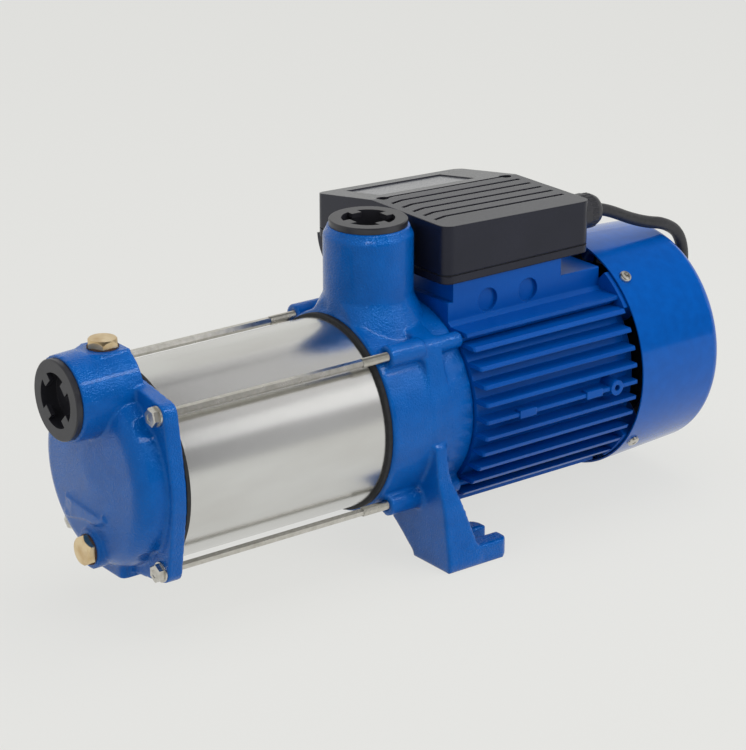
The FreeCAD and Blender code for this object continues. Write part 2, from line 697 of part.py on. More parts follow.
def impeller_spacers():
    """Sleeves that hold the impellers apart on the shaft; the last one backs the shaft seal."""
    spacers = []
    for i in range(STAGES):
        end = hub_front(i + 1) if i + 1 < STAGES else seal_head_front()
        sleeve = ring(SHAFT_RADIUS + 2.6, SHAFT_RADIUS + SHAFT_CLEARANCE, hub_back(i), end)
        spacers.append(sleeve.cut(keyway(hub_back(i) - 1, end + 1, KEY_PROUD + SHAFT_CLEARANCE,
                                         SHAFT_CLEARANCE)))
    return Part.makeCompound(spacers)


def impeller_key():
    return keyway(hub_front(0) + 1.0, hub_back(STAGES - 1), KEY_PROUD)


def shaft_nut():
    x1 = hub_front(0)
    nut = hexagon(SHAFT_NUT_ACROSS, V(x1, 0, 0), SHAFT_NUT_HEIGHT, V(-1, 0, 0))
    return nut.cut(bar(SHAFT_THREAD_RADIUS, x1 - SHAFT_NUT_HEIGHT - 1, x1 + 1))


# Shaft and its seal
def pump_shaft():
    shoulder = hub_front(0)
    shaft = turned([(shoulder - SHAFT_STUB, 0, 0), (shoulder - SHAFT_STUB, SHAFT_THREAD_RADIUS, 0),
                    (shoulder, SHAFT_THREAD_RADIUS, 0), (shoulder, SHAFT_RADIUS, 0),
                    (SEAL_WALL_X + SEAL_WALL, SHAFT_RADIUS, 0),
                    (SEAL_WALL_X + SEAL_WALL, DRIVE_SHAFT_RADIUS, 0),
                    (FRONT_BEARING_X + FRONT_BEARING_WIDTH, DRIVE_SHAFT_RADIUS, 0),
                    (FRONT_BEARING_X + FRONT_BEARING_WIDTH, ROTOR_SHAFT_RADIUS, 0),
                    (REAR_BEARING_X, ROTOR_SHAFT_RADIUS, 0), (REAR_BEARING_X, REAR_JOURNAL_RADIUS, 0),
                    (REAR_BEARING_X + REAR_BEARING_WIDTH + 3, REAR_JOURNAL_RADIUS, 0),
                    (REAR_BEARING_X + REAR_BEARING_WIDTH + 3, FAN_SEAT_RADIUS, 0),
                    (SHAFT_END, FAN_SEAT_RADIUS, 0), (SHAFT_END, 0, 0)])
    groove = ring(FAN_SEAT_RADIUS + 1, FAN_SEAT_RADIUS - 0.6, FAN_BACK, FAN_BACK + CIRCLIP_THICKNESS)
    return shaft.cut([keyway(hub_front(0) + 1.0, hub_back(STAGES - 1), 1.0), groove])


def seal_seat():
    """Fixed ceramic ring pressed in the mouth of the seal housing."""
    return ring(SEAT_RADIUS, SEAT_BORE, SEAL_MOUTH, SEAL_MOUTH + SEAT_THICKNESS)


def seal_head():
    """Carbon ring that turns with the shaft against the fixed seat."""
    return ring(SEAL_FACE_RADIUS, SHAFT_RADIUS + SHAFT_CLEARANCE, SEAL_MOUTH - SEAL_FACE, SEAL_MOUTH)


def seal_bellows():
    """Rubber bellows that presses the carbon ring on its seat."""
    x0 = seal_head_front()
    fold = BELLOWS_LENGTH / 3
    inner = SHAFT_RADIUS + SHAFT_CLEARANCE
    return turned([(x0, inner, 0), (x0, BELLOWS_RADIUS, -1), (x0 + fold, BELLOWS_RADIUS, 0),
                   (x0 + fold * 1.5, BELLOWS_RADIUS - 3, 0), (x0 + fold * 2, BELLOWS_RADIUS, 0),
                   (x0 + fold * 3, BELLOWS_RADIUS, -1), (x0 + fold * 3, inner, 0)])


def slinger_ring():
    """Rubber ring on the shaft that throws off water before it reaches the bearing."""
    x0 = SEAL_WALL_X + SEAL_WALL + 2.0
    return turned([(x0, DRIVE_SHAFT_RADIUS, 0), (x0, SLINGER_RADIUS, 0),
                   (x0 + SLINGER_THICKNESS / 2, SLINGER_RADIUS, 0),
                   (x0 + SLINGER_THICKNESS, DRIVE_SHAFT_RADIUS + 3, 0),
                   (x0 + SLINGER_THICKNESS, DRIVE_SHAFT_RADIUS, 0)])


# Bracket
def leg_outline():
    """Outline of the far leg, square to the shaft."""
    half = BRACKET_FLANGE_HALF
    spread = FOOT_SPREAD
    return [(half - 16, -LEG_OUTLINE_TOP, 0), (half, -LEG_OUTLINE_TOP, 0), (half + 3.5, -34, 12),
            (half + 8.7, -48, 12), (spread + 1, FLOOR + 5, 3), (spread, FLOOR, 0),
            (ARCH_HALF_FLOOR, FLOOR, 0), (ARCH_HALF_FLOOR - 1, FLOOR + 3, 0),
            (ARCH_HALF_TOP + 8, FLOOR + ARCH_RISE - 6, 8), (ARCH_HALF_TOP, FLOOR + ARCH_RISE, 0),
            (ARCH_HALF_TOP, -50, 0)]


def leg():
    """Far leg: a front plate, an outer web that narrows upward, and a slotted foot."""
    plate = plate_x(leg_outline(), FLANGE_FRONT, FLANGE_FRONT + LEG_THICKNESS)
    web_side = plate_x(leg_outline(), FLANGE_FRONT, BRACKET_BACK + 12)
    outer = plate_x([(u - LEG_WEB, v, 0) for u, v, r in leg_outline()[1:5]]
                    + [(BRACKET_FLANGE_HALF - 30, FLOOR + 5, 0), (BRACKET_FLANGE_HALF - 40, -50, 0),
                       (BRACKET_FLANGE_HALF - 30, -LEG_OUTLINE_TOP, 0)],
                    FLANGE_FRONT - 1, BRACKET_BACK + 13)
    side = Part.Face(rounded_wire([(FLANGE_FRONT, -LEG_OUTLINE_TOP, 0), (FLANGE_FRONT, FLOOR, 0),
                                   (2, FLOOR, 0), (0, FLOOR + FOOT_THICKNESS, 0), (-14, -33, 0),
                                   (-16, -LEG_OUTLINE_TOP, 0)],
                                  lambda u, v: V(u, 0, v))).extrude(V(0, FOOT_SPREAD + 10, 0))
    web = web_side.cut(outer).common(side)
    x0, x1 = FLANGE_FRONT, FLANGE_FRONT + FOOT_LENGTH
    y0, y1 = FOOT_SPREAD - FOOT_WIDTH, FOOT_SPREAD
    foot = plate_z([(x0, y0, 0), (x1, y0, 7), (x1, y1, 7), (x0, y1, 0)], FLOOR, FLOOR + FOOT_THICKNESS)
    slot_y = (y0 + y1) / 2
    slot_end = x1 - ANCHOR_SLOT_DEPTH + ANCHOR_SLOT_WIDTH / 2
    slot = block(slot_end, x1 + 1, slot_y - ANCHOR_SLOT_WIDTH / 2, slot_y + ANCHOR_SLOT_WIDTH / 2,
                 FLOOR - 1, FLOOR + FOOT_THICKNESS + 1)
    slot = slot.fuse(post(ANCHOR_SLOT_WIDTH / 2, FLOOR - 1, FLOOR + FOOT_THICKNESS + 1, slot_end, slot_y))
    return joined(plate, [web, foot]).cut(slot)


def pump_bracket():
    half = BRACKET_FLANGE_HALF
    drum = turned([(BRACKET_FRONT, 0, 0), (BRACKET_FRONT, DRUM_RADIUS, -1.0),
                   (FLANGE_FRONT + 2, DRUM_RADIUS, 0), (FLANGE_FRONT + 2, 0, 0)])
    corner = BRACKET_FLANGE_CORNER - LUG_RADIUS
    flange = plate_x(lobed_outline(DRUM_RADIUS, corner, LUG_RADIUS), FLANGE_FRONT, FLANGE_FRONT + BRACKET_FLANGE)
    skirt = turned([(FLANGE_FRONT + 1, 0, 0), (FLANGE_FRONT + 1, DRUM_RADIUS + 0.3, 0),
                    (BRACKET_BACK, BELL_BACK_RADIUS, -1.0), (BRACKET_BACK, 0, 0)])
    root_top = PORT_ROOT_HEIGHT
    port = post(PORT_BOSS_RADIUS, 30, PORT_SHOULDER_HEIGHT, PORT_X)
    root = Part.makeCone(PORT_BOSS_RADIUS + PORT_ROOT_SPREAD * 2.5, PORT_BOSS_RADIUS,
                         PORT_ROOT_SPREAD * 5, V(PORT_X, 0, root_top - PORT_ROOT_SPREAD * 5), V(0, 0, 1))
    root = root.common(block(BRACKET_FRONT + 1, BRACKET_BACK - 1, -half, half, 0, root_top + 1))
    shoulder = Part.makeCone(PORT_BOSS_RADIUS, PORT_RIM_RADIUS, 3.5,
                             V(PORT_X, 0, PORT_SHOULDER_HEIGHT), V(0, 0, 1))
    rim = post(PORT_RIM_RADIUS, PORT_SHOULDER_HEIGHT, PORT_RIM_HEIGHT, PORT_X)
    adds = [flange, skirt, port, root, shoulder, rim]
    for angle in corner_angles():
        y, z = on_circle(TIE_RADIUS, angle)
        adds.append(bar(LUG_RADIUS, BRACKET_FRONT + 5.0, FLANGE_FRONT + 1, y, z))
        y, z = on_circle(MOTOR_BOLT_CIRCLE, angle)
        adds.append(bar(BRACKET_FLANGE_CORNER - MOTOR_BOLT_CIRCLE, FLANGE_FRONT + 2,
                        BRACKET_BACK - 1.5, y, z))
    spigot = ring(SPIGOT_RADIUS, SPIGOT_RADIUS - SPIGOT_WALL, STACK_BACK, BRACKET_FRONT + 1)
    motor_spigot = ring(STATOR_RADIUS - SLIP, STATOR_RADIUS - SLIP - 4, BRACKET_BACK - 1,
                        BRACKET_BACK + HOUSING_SPIGOT)
    far_leg = leg()
    body = joined(drum, adds + [far_leg, mirrored(far_leg)])

    chamber = turned([(BRACKET_FRONT - 1, 0, 0), (BRACKET_FRONT - 1, SPIGOT_RADIUS - SPIGOT_WALL, 0),
                      (SEAL_WALL_X, CHAMBER_RADIUS, -4), (SEAL_WALL_X, SEAL_HOUSING_RADIUS + 1, -3),
                      (SEAL_MOUTH, SEAL_HOUSING_RADIUS, 0), (SEAL_MOUTH, 0, 0)])
    motor_side = turned([(SEAL_WALL_X + SEAL_WALL, FRONT_BEARING_RADIUS + BEARING_WALL + 3, 0),
                         (SEAL_WALL_X + SEAL_WALL, DRUM_RADIUS - BRACKET_WALL, -2),
                         (BRACKET_BACK + 1, DRUM_RADIUS - BRACKET_WALL, 0),
                         (BRACKET_BACK + 1, FRONT_BEARING_RADIUS + BEARING_WALL, 0),
                         (FRONT_BEARING_X, FRONT_BEARING_RADIUS + BEARING_WALL, 0)])
    slinger_room = bar(SLINGER_RADIUS + 3, SEAL_WALL_X + SEAL_WALL + 1, FRONT_BEARING_X - 1.5)
    bearing_seat = bar(FRONT_BEARING_RADIUS, FRONT_BEARING_X, BRACKET_BACK + 2)
    bearing_throat = bar(FRONT_BEARING_RADIUS - 4, FRONT_BEARING_X - 2, FRONT_BEARING_X + 1)
    seat_bore = bar(SEAT_RADIUS, SEAL_MOUTH - 1, SEAL_MOUTH + SEAT_THICKNESS)
    shaft_hole = bar(DRIVE_SHAFT_RADIUS + 1.0, SEAL_MOUTH, SEAL_WALL_X + SEAL_WALL + 3)
    thread_bottom = PORT_RIM_HEIGHT - PORT_MOUTH_DEPTH - PORT_THREAD_LENGTH
    cuts = [chamber, motor_side, slinger_room, bearing_seat, bearing_throat, seat_bore, shaft_hole,
            post(PORT_MOUTH_RADIUS, PORT_RIM_HEIGHT - PORT_MOUTH_DEPTH, PORT_RIM_HEIGHT + 1, PORT_X),
            post(PORT_THREAD_RADIUS, thread_bottom, PORT_RIM_HEIGHT, PORT_X),
            post(PORT_PASSAGE_RADIUS, CHAMBER_RADIUS - 12, thread_bottom + 1, PORT_X - 3.0)]
    for angle in corner_angles():
        y, z = on_circle(TIE_RADIUS, angle)
        cuts.append(bar(TIE_THREAD_RADIUS, BRACKET_FRONT, tie_bolt_end() + 1.0, y, z))
        y, z = on_circle(MOTOR_BOLT_CIRCLE, angle)
        cuts.append(bar(MOTOR_BOLT_RADIUS, BRACKET_BACK - 8 - MOTOR_BOLT_ENGAGEMENT, BRACKET_BACK + 1, y, z))
    return joined(body.cut(cuts), [spigot, motor_spigot])


# Bearings
def bearing_outer(radius, x0, width):
    return ring(radius, radius - BEARING_RACE, x0, x0 + width)


def bearing_inner(shaft_radius, radius, x0, width):
    """Inner race with its seals, which reach out to the outer race."""
    return ring(radius - BEARING_RACE - RUNNING_GAP, shaft_radius, x0 + 0.2, x0 + width - 0.2)


def bearing_wave_washer():
    x0 = REAR_BEARING_X + REAR_BEARING_WIDTH
    return ring(REAR_BEARING_RADIUS - 0.2, REAR_BEARING_RADIUS - 4, x0, x0 + WAVE_WASHER)


# Motor
def rotor_core():
    """Stack of laminations with the short-circuit ring of the cage at each end."""
    radius = STATOR_BORE - AIR_GAP
    core = turned([(CORE_FRONT - 8, ROTOR_SHAFT_RADIUS, 0), (CORE_FRONT - 8, radius - 8, 0),
                   (CORE_FRONT - 8, radius - 1, -1), (CORE_FRONT, radius - 1, 0), (CORE_FRONT, radius, 0),
                   (CORE_BACK, radius, 0), (CORE_BACK, radius - 1, 0), (CORE_BACK + 8, radius - 1, -1),
                   (CORE_BACK + 8, radius - 8, 0), (CORE_BACK + 8, ROTOR_SHAFT_RADIUS, 0)])
    return core


def stator_core():
    return ring(STATOR_RADIUS, STATOR_BORE, CORE_FRONT, CORE_BACK)


def stator_windings():
    """Coil heads that stand out from both ends of the stator."""
    heads = []
    for seat, end in ((CORE_FRONT, CORE_FRONT - WINDING_LENGTH), (CORE_BACK, CORE_BACK + WINDING_LENGTH)):
        heads.append(turned([(seat, WINDING_INNER, 0), (seat, WINDING_OUTER, 0), (end, WINDING_OUTER, -6),
                             (end, WINDING_INNER, -3)]))
    return Part.makeCompound(heads)


def upper_ledge(side):
    """Flank of the box pad, which stands on a level ledge above the top fin."""
    tip = math.sqrt(FIN_TIP_RADIUS ** 2 - LEDGE_HEIGHT ** 2)
    under = LEDGE_HEIGHT - FIN_THICKNESS
    outline = [(0, FLAT_HEIGHT, 0), (PAD_HALF, FLAT_HEIGHT, 1.0), (PAD_HALF, LEDGE_HEIGHT, LEDGE_ROUND),
               (tip, LEDGE_HEIGHT, 0), (tip, under, 0), (0, under, 0)]
    return plate_x([(side * y, z, r) for y, z, r in outline], BRACKET_BACK, HOUSING_BACK)


def motor_housing():
    """Finned housing: level fins cut to a round outline, ledges beside the box pad, flat below."""
    x0, x1 = BRACKET_BACK, HOUSING_BACK
    fins = [upper_ledge(-1), upper_ledge(1)]
    for i in range(-FINS_EACH_WAY, FINS_EACH_WAY):
        z = i * FIN_PITCH
        fins.append(block(x0, x1, -FIN_TIP_RADIUS, FIN_TIP_RADIUS, z - FIN_THICKNESS / 2,
                          z + FIN_THICKNESS / 2))
    fins.append(block(x0, x1, -FLAT_HALF, FLAT_HALF, -FLAT_HEIGHT, 8 - FLAT_HEIGHT))
    envelope = turned([(x0, 0, 0), (x0, FIN_TIP_RADIUS - FIN_BEVEL, 0), (x0 + FIN_BEVEL, FIN_TIP_RADIUS, 0),
                       (x1, FIN_TIP_RADIUS, 0), (x1, 0, 0)])
    body = joined(bar(HOUSING_RADIUS, x0, x1), [f.common(envelope) for f in fins])
    pad = block(PAD_X0, PAD_X0 + PAD_LENGTH, -PAD_HALF, PAD_HALF, 40, BOX_FLOOR_HEIGHT)
    earth_x = HOUSING_BACK - 18.0
    earth = Part.makeCylinder(EARTH_BOSS_RADIUS, 12, V(earth_x, -FIN_TIP_RADIUS - 1, 0), V(0, 1, 0))
    fin_pads = []
    for i in range(2):
        x = BRACKET_BACK + FIN_PAD_FIRST + i * FIN_PAD_PITCH
        face = -FIN_TIP_RADIUS - FIN_PAD_PROUD
        fin_pads.append(block(x, x + FIN_PAD_LENGTH, face, face + 5, -FIN_PAD_HEIGHT / 2, FIN_PAD_HEIGHT / 2))
    body = joined(body, [pad, earth] + fin_pads)
    cuts = [bar(STATOR_RADIUS, x0 - 1, x1 + 1),
            Part.makeCylinder(2.0, 8, V(earth_x, -FIN_TIP_RADIUS - 2, 0), V(0, 1, 0)),
            post(7.0, 40, BOX_FLOOR_HEIGHT + 1, PAD_X0 + PAD_LENGTH / 2)]
    for i in range(2):
        x = PAD_X0 + PAD_KNOCKOUT_SETBACK + i * PAD_KNOCKOUT_PITCH
        z = (HOUSING_RADIUS + BOX_FLOOR_HEIGHT) / 2 - 9.0
        cuts.append(Part.makeCylinder(PAD_KNOCKOUT_RADIUS, PAD_KNOCKOUT_DEPTH, V(x, -PAD_HALF, z), V(0, 1, 0)))
    for angle in corner_angles():
        y, z = on_circle(MOTOR_BOLT_CIRCLE, angle)
        cuts.append(bar(MOTOR_BOLT_RADIUS + BOLT_CLEARANCE, x0 - 1, x1 + 1, y, z))
    return body.cut(cuts)


def motor_tie_bolts():
    bolts = []
    x0 = BRACKET_BACK - 7.0 - MOTOR_BOLT_ENGAGEMENT
    for angle in corner_angles():
        y, z = on_circle(MOTOR_BOLT_CIRCLE, angle)
        head = hexagon(MOTOR_BOLT_ACROSS, V(SHIELD_BACK, y, z), MOTOR_BOLT_HEAD, V(1, 0, 0))
        bolts.append(joined(bar(MOTOR_BOLT_RADIUS, x0, SHIELD_BACK, y, z), [head]))
    return Part.makeCompound(bolts)


def cover_inner_radius(x):
    """Inside radius of the fan cover at a station."""
    share = (x - COVER_FRONT) / COVER_LENGTH
    return COVER_FRONT_RADIUS + (COVER_REAR_RADIUS - COVER_FRONT_RADIUS) * share - COVER_SHEET


def cover_seat_radius():
    """Radius of the bosses that the fan cover is screwed to."""
    return cover_inner_radius(SHIELD_BACK) - 0.1


def rear_end_shield():
    """Motor end shield with bearing seat and the corner bosses that carry bolts and fan cover."""
    x0 = HOUSING_BACK
    hub_end = REAR_BEARING_X + REAR_BEARING_WIDTH + SHIELD_HUB_WALL
    hub_radius = SHIELD_HUB_RADIUS - SHIELD_HUB_TAPER
    lip = STATOR_RADIUS - SHIELD_HOLLOW_LIP
    body = turned([(x0 - HOUSING_SPIGOT, lip, 0), (x0 - HOUSING_SPIGOT, STATOR_RADIUS - SLIP, 0),
                   (x0, STATOR_RADIUS - SLIP, 0), (x0, HOUSING_RADIUS, 0),
                   (x0 + SHIELD_THICKNESS, HOUSING_RADIUS, -1.5), (x0 + SHIELD_THICKNESS, SHIELD_HUB_RADIUS, 0),
                   (hub_end, hub_radius, -1.5), (hub_end, REAR_JOURNAL_RADIUS + 1, 0),
                   (x0 - HOUSING_SPIGOT, REAR_JOURNAL_RADIUS + 1, 0), (x0 - HOUSING_SPIGOT, hub_radius - 2, 0),
                   (x0 + 1, hub_radius + 2, 0), (x0 + 1, lip, 0)])
    reach = cover_seat_radius()
    envelope = bar(reach, x0, SHIELD_BACK)
    bosses = []
    for angle in corner_angles():
        boss = plate_x([(-SHIELD_BOSS_NARROW, SHIELD_BOSS_ROOT, 0), (-SHIELD_BOSS_NARROW, reach + 5, 0),
                        (SHIELD_BOSS_WIDE, reach + 5, 0), (SHIELD_BOSS_WIDE, SHIELD_BOSS_ROOT, 0)],
                       x0, SHIELD_BACK)
        bosses.append(turned_by(boss, angle).common(envelope))
    body = joined(body, bosses)
    cuts = [bar(REAR_BEARING_RADIUS, x0 - 5, REAR_BEARING_X + REAR_BEARING_WIDTH + WAVE_WASHER),
            bar(REAR_JOURNAL_RADIUS + 1, x0 - 5, SHIELD_BACK + 20)]
    for angle in corner_angles():
        y, z = on_circle(MOTOR_BOLT_CIRCLE, angle)
        cuts.append(bar(MOTOR_BOLT_RADIUS + BOLT_CLEARANCE, x0 - 5, SHIELD_BACK + 1, y, z))
    for angle in cover_screw_angles():
        cuts.append(radial_bar(COVER_SCREW_RADIUS, COVER_SCREW_X, reach - COVER_SCREW_LENGTH, reach + 5, angle))
    return body.cut(cuts)


def cover_screw_angles():
    return [angle + COVER_TURN for angle in corner_angles()]


def radial_bar(radius, x, r0, r1, angle):
    """Round bar that stands out from the shaft axis between two radii."""
    y, z = on_circle(1.0, angle)
    return Part.makeCylinder(radius, r1 - r0, V(x, y * r0, z * r0), V(0, y, z))


# Fan and fan cover
def cooling_fan():
    x1 = FAN_BACK
    x0 = x1 - FAN_HUB_LENGTH
    hub = ring(FAN_HUB_RADIUS, FAN_SEAT_RADIUS + SHAFT_CLEARANCE, x0, x1)
    disc = ring(FAN_RADIUS - 8, FAN_HUB_RADIUS - 2, x0, x0 + FAN_DISC)
    blade = block(x0, x0 + FAN_BLADE_WIDTH, -FAN_BLADE_THICKNESS / 2, FAN_BLADE_THICKNESS / 2,
                  FAN_HUB_RADIUS + 6, FAN_RADIUS)
    root = block(x0, x0 + FAN_HUB_LENGTH * 0.6, -FAN_BLADE_THICKNESS / 2, FAN_BLADE_THICKNESS / 2,
                 FAN_HUB_RADIUS - 1, FAN_HUB_RADIUS + 7)
    return joined(hub, [disc] + repeated(blade, FAN_BLADES) + repeated(root, FAN_BLADES))


def fan_circlip():
    return ring(FAN_SEAT_RADIUS + CIRCLIP_WIDTH, FAN_SEAT_RADIUS - 0.6, FAN_BACK,
                FAN_BACK + CIRCLIP_THICKNESS)


def grille_slot(radius, span):
    """Curved slot through the back of the fan cover, centred straight up."""
    inner, outer = radius - GRILLE_SLOT / 2, radius + GRILLE_SLOT / 2
    rows = []
    for r in (inner, outer):
        rows.append([V(COVER_BACK - 3, *on_circle(r, span * k)) for k in (-0.5, 0.0, 0.5)])
    edges = [Part.Arc(*rows[0]).toShape(), Part.makeLine(rows[0][2], rows[1][2]),
             Part.Arc(rows[1][2], rows[1][1], rows[1][0]).toShape(), Part.makeLine(rows[1][0], rows[0][0])]
    return Part.Face(Part.Wire(edges)).extrude(V(6, 0, 0))


def fan_cover():
    """Drawn sheet cover with a rounded rear edge and an air grille of ring slots in its back."""
    outside = turned([(COVER_FRONT, 0, 0), (COVER_FRONT, COVER_FRONT_RADIUS, 0),
                      (COVER_BACK, COVER_REAR_RADIUS, COVER_EDGE), (COVER_BACK, 0, 0)])
    inside = turned([(COVER_FRONT - 1, 0, 0), (COVER_FRONT - 1, COVER_FRONT_RADIUS - COVER_SHEET, 0),
                     (COVER_BACK - COVER_SHEET, COVER_REAR_RADIUS - COVER_SHEET, COVER_EDGE - COVER_SHEET),
                     (COVER_BACK - COVER_SHEET, 0, 0)])
    cuts = [inside]
    for i in range(GRILLE_RINGS):
        radius = GRILLE_INNER + i * GRILLE_PITCH
        span = 90.0 - math.degrees(GRILLE_SPOKE / radius)
        cuts += repeated(grille_slot(radius, span), 4, 45.0)
    for angle in cover_screw_angles():
        cuts.append(radial_bar(COVER_SCREW_RADIUS + BOLT_CLEARANCE, COVER_SCREW_X, HOUSING_RADIUS,
                               COVER_FRONT_RADIUS + 10, angle))
    return outside.cut(cuts)


def fan_cover_screws():
    screws = []
    seat = cover_inner_radius(COVER_SCREW_X) + COVER_SHEET + 0.25
    reach = cover_seat_radius()
    for angle in cover_screw_angles():
        head = radial_bar(COVER_SCREW_HEAD_RADIUS, COVER_SCREW_X, seat, seat + COVER_SCREW_HEAD, angle)
        shank = radial_bar(COVER_SCREW_RADIUS, COVER_SCREW_X, reach - COVER_SCREW_LENGTH + 1, seat + 1, angle)
        screws.append(joined(head, [shank]))
    return Part.makeCompound(screws)


# Terminal box
def box_outline(inset=0.0):
    """Plan of the box (x, y), rounded at its four upright corners."""
    radius = BOX_CORNER - inset
    return [(BOX_X0 + inset, -BOX_NEAR + inset, radius), (BOX_X1 - inset, -BOX_NEAR + inset, radius),
            (BOX_X1 - inset, BOX_FAR - inset, radius), (BOX_X0 + inset, BOX_FAR - inset, radius)]


def roof(offset=0.0, margin=5.0):
    """Wedge above the seam whose top is the sloping lid, lowered by an offset."""
    front = BOX_TOP_HEIGHT - offset
    slope = BOX_SLOPE_DROP / (BOX_FAR - BOX_KINK)
    fall = BOX_TOP_FALL / BOX_LENGTH
    sections = []
    for x in (BOX_X0 - margin, BOX_X1 + margin):
        top = front - (x - BOX_X0) * fall
        far = top - slope * (BOX_FAR + margin - BOX_KINK)
        points = [V(x, -BOX_NEAR - margin, 0), V(x, -BOX_NEAR - margin, top), V(x, BOX_KINK, top),
                  V(x, BOX_FAR + margin, far), V(x, BOX_FAR + margin, 0)]
        sections.append(Part.makePolygon(points + [points[0]]))
    return Part.makeLoft(sections, True, True)


def lid_height(x, y):
    """Height of the lid's outer surface above the shaft."""
    z = BOX_TOP_HEIGHT - (x - BOX_X0) * BOX_TOP_FALL / BOX_LENGTH
    if y > BOX_KINK:
        z -= (y - BOX_KINK) * BOX_SLOPE_DROP / (BOX_FAR - BOX_KINK)
    return z


def box_screw_places():
    inset = BOX_SCREW_INSET
    return [(BOX_X0 + inset, BOX_KINK), (BOX_X1 - inset, BOX_KINK)]


def terminal_box_base():
    """Shallow tray with the round bay for the capacitor on its far side."""
    tray = plate_z(box_outline(), BOX_FLOOR_HEIGHT, BOX_SEAM_HEIGHT)
    bay = bar(CAPACITOR_BAY_RADIUS, BOX_X0 + 1, BOX_X1 - 1, CAPACITOR_BAY_Y, CAPACITOR_BAY_HEIGHT)
    below = block(BOX_X0, BOX_X1, CAPACITOR_BAY_Y - 40, CAPACITOR_BAY_Y + 40, 20, BOX_FLOOR_HEIGHT + 1)
    body = joined(tray, [bay.common(below)])
    hollow = plate_z(box_outline(BOX_WALL), BOX_FLOOR_HEIGHT + BOX_WALL, BOX_SEAM_HEIGHT + 1)
    bay_hollow = bar(CAPACITOR_BAY_RADIUS - BOX_WALL, BOX_X0 + 1 + BOX_WALL, BOX_X1 - 1 - BOX_WALL,
                     CAPACITOR_BAY_Y, CAPACITOR_BAY_HEIGHT)
    cuts = [hollow, bay_hollow, post(7.0, BOX_FLOOR_HEIGHT - 1, BOX_SEAM_HEIGHT, PAD_X0 + PAD_LENGTH / 2)]
    body = body.cut(cuts)
    posts = [post(BOX_SCREW_BOSS, BOX_FLOOR_HEIGHT, BOX_SEAM_HEIGHT, x, y) for x, y in box_screw_places()]
    body = joined(body, posts)
    return body.cut([post(BOX_SCREW_RADIUS, BOX_FLOOR_HEIGHT + 1, BOX_SEAM_HEIGHT + 1, x, y)
                     for x, y in box_screw_places()])


def terminal_box_gasket():
    z0, z1 = BOX_SEAM_HEIGHT, BOX_SEAM_HEIGHT + BOX_GASKET
    return plate_z(box_outline(0.6), z0, z1).cut(plate_z(box_outline(BOX_WALL), z0, z1))


def terminal_box_cover():
    """Lid with a level top, a far slope, shallow grooves and a bare recess."""
    z0 = BOX_SEAM_HEIGHT + BOX_GASKET
    shell = plate_z(box_outline(), z0, BOX_TOP_HEIGHT + 5).common(roof())
    hollow = plate_z(box_outline(BOX_WALL), z0 - 1, BOX_TOP_HEIGHT + 5).common(roof(BOX_WALL))
    body = shell.cut(hollow)
    pillars = []
    for x, y in box_screw_places():
        pillars.append(post(BOX_SCREW_BOSS, z0, BOX_TOP_HEIGHT + 5, x, y).common(roof(0.5)))
    body = joined(body, pillars)
    cuts = []
    for i in range(BOX_GROOVES):
        y = BOX_GROOVE_FIRST + i * BOX_GROOVE_PITCH
        half = BOX_GROOVE_WIDTH / 2
        start, end = BOX_X0 + BOX_GROOVE_END, BOX_X1 - BOX_GROOVE_END
        bend = start + BOX_GROOVE_BEND
        groove = plate_z([(start, y - half - BOX_GROOVE_DRIFT, 0), (bend, y - half, BOX_GROOVE_BEND), (end, y - half, 0),
                          (end, y + half, 0), (bend, y + half, BOX_GROOVE_BEND), (start, y + half - BOX_GROOVE_DRIFT, 0)],
                         BOX_SEAM_HEIGHT + 8, BOX_TOP_HEIGHT + 2)
        cuts.append(groove.cut(roof(BOX_GROOVE_DEPTH)))
    label = block(BOX_X0 + LABEL_FRONT, BOX_X0 + LABEL_FRONT + LABEL_LENGTH, LABEL_NEAR, LABEL_FAR,
                  BOX_SEAM_HEIGHT + 8, BOX_TOP_HEIGHT + 2)
    cuts.append(label.cut(roof(LABEL_RECESS_DEPTH)))
    for x, y in box_screw_places():
        top = lid_height(x, y)
        cuts.append(post(BOX_SCREW_HEAD_RADIUS + 0.4, top - BOX_SCREW_SINK, top + 5, x, y))
        cuts.append(post(BOX_SCREW_RADIUS + BOLT_CLEARANCE, z0 - 1, top, x, y))
    cuts.append(bar(GLAND_THREAD_RADIUS + BOLT_CLEARANCE, BOX_X1 - 6, BOX_X1 + 1, GLAND_Y, GLAND_HEIGHT))
    return body.cut(cuts)


def terminal_box_screws():
    screws = []
    for x, y in box_screw_places():
        seat = lid_height(x, y) - BOX_SCREW_SINK
        head = post(BOX_SCREW_HEAD_RADIUS, seat, seat + 2.6, x, y)
        shank = post(BOX_SCREW_RADIUS, BOX_FLOOR_HEIGHT + 1.5, seat + 1, x, y)
        screws.append(joined(head, [shank]))
    return Part.makeCompound(screws)


def terminal_block():
    """Clamp strip on the floor of the box, with a row of clamp wells."""
    x0 = PAD_X0 + PAD_LENGTH / 2 + 9
    z0 = BOX_FLOOR_HEIGHT + BOX_WALL
    body = block(x0, x0 + TERMINAL_LENGTH - 16, -TERMINAL_WIDTH / 2, TERMINAL_WIDTH / 2, z0, z0 + TERMINAL_HEIGHT)
    wells = [post(2.6, z0 + 6, z0 + TERMINAL_HEIGHT + 1, x0 + 6 + 9 * i, 0) for i in range(3)]
    return body.cut(wells)


def run_capacitor():
    x0 = (BOX_X0 + BOX_X1 - CAPACITOR_LENGTH) / 2
    y = CAPACITOR_BAY_Y
    z = CAPACITOR_BAY_HEIGHT - CAPACITOR_BAY_RADIUS + BOX_WALL + CAPACITOR_RADIUS + 0.1
    can = bar(CAPACITOR_RADIUS, x0, x0 + CAPACITOR_LENGTH, y, z)
    tabs = [block(x0 - 6, x0 + 0.5, y - 8 + 12 * i, y - 4 + 12 * i, z - 0.5, z + 0.5) for i in range(2)]
    return joined(can, tabs)


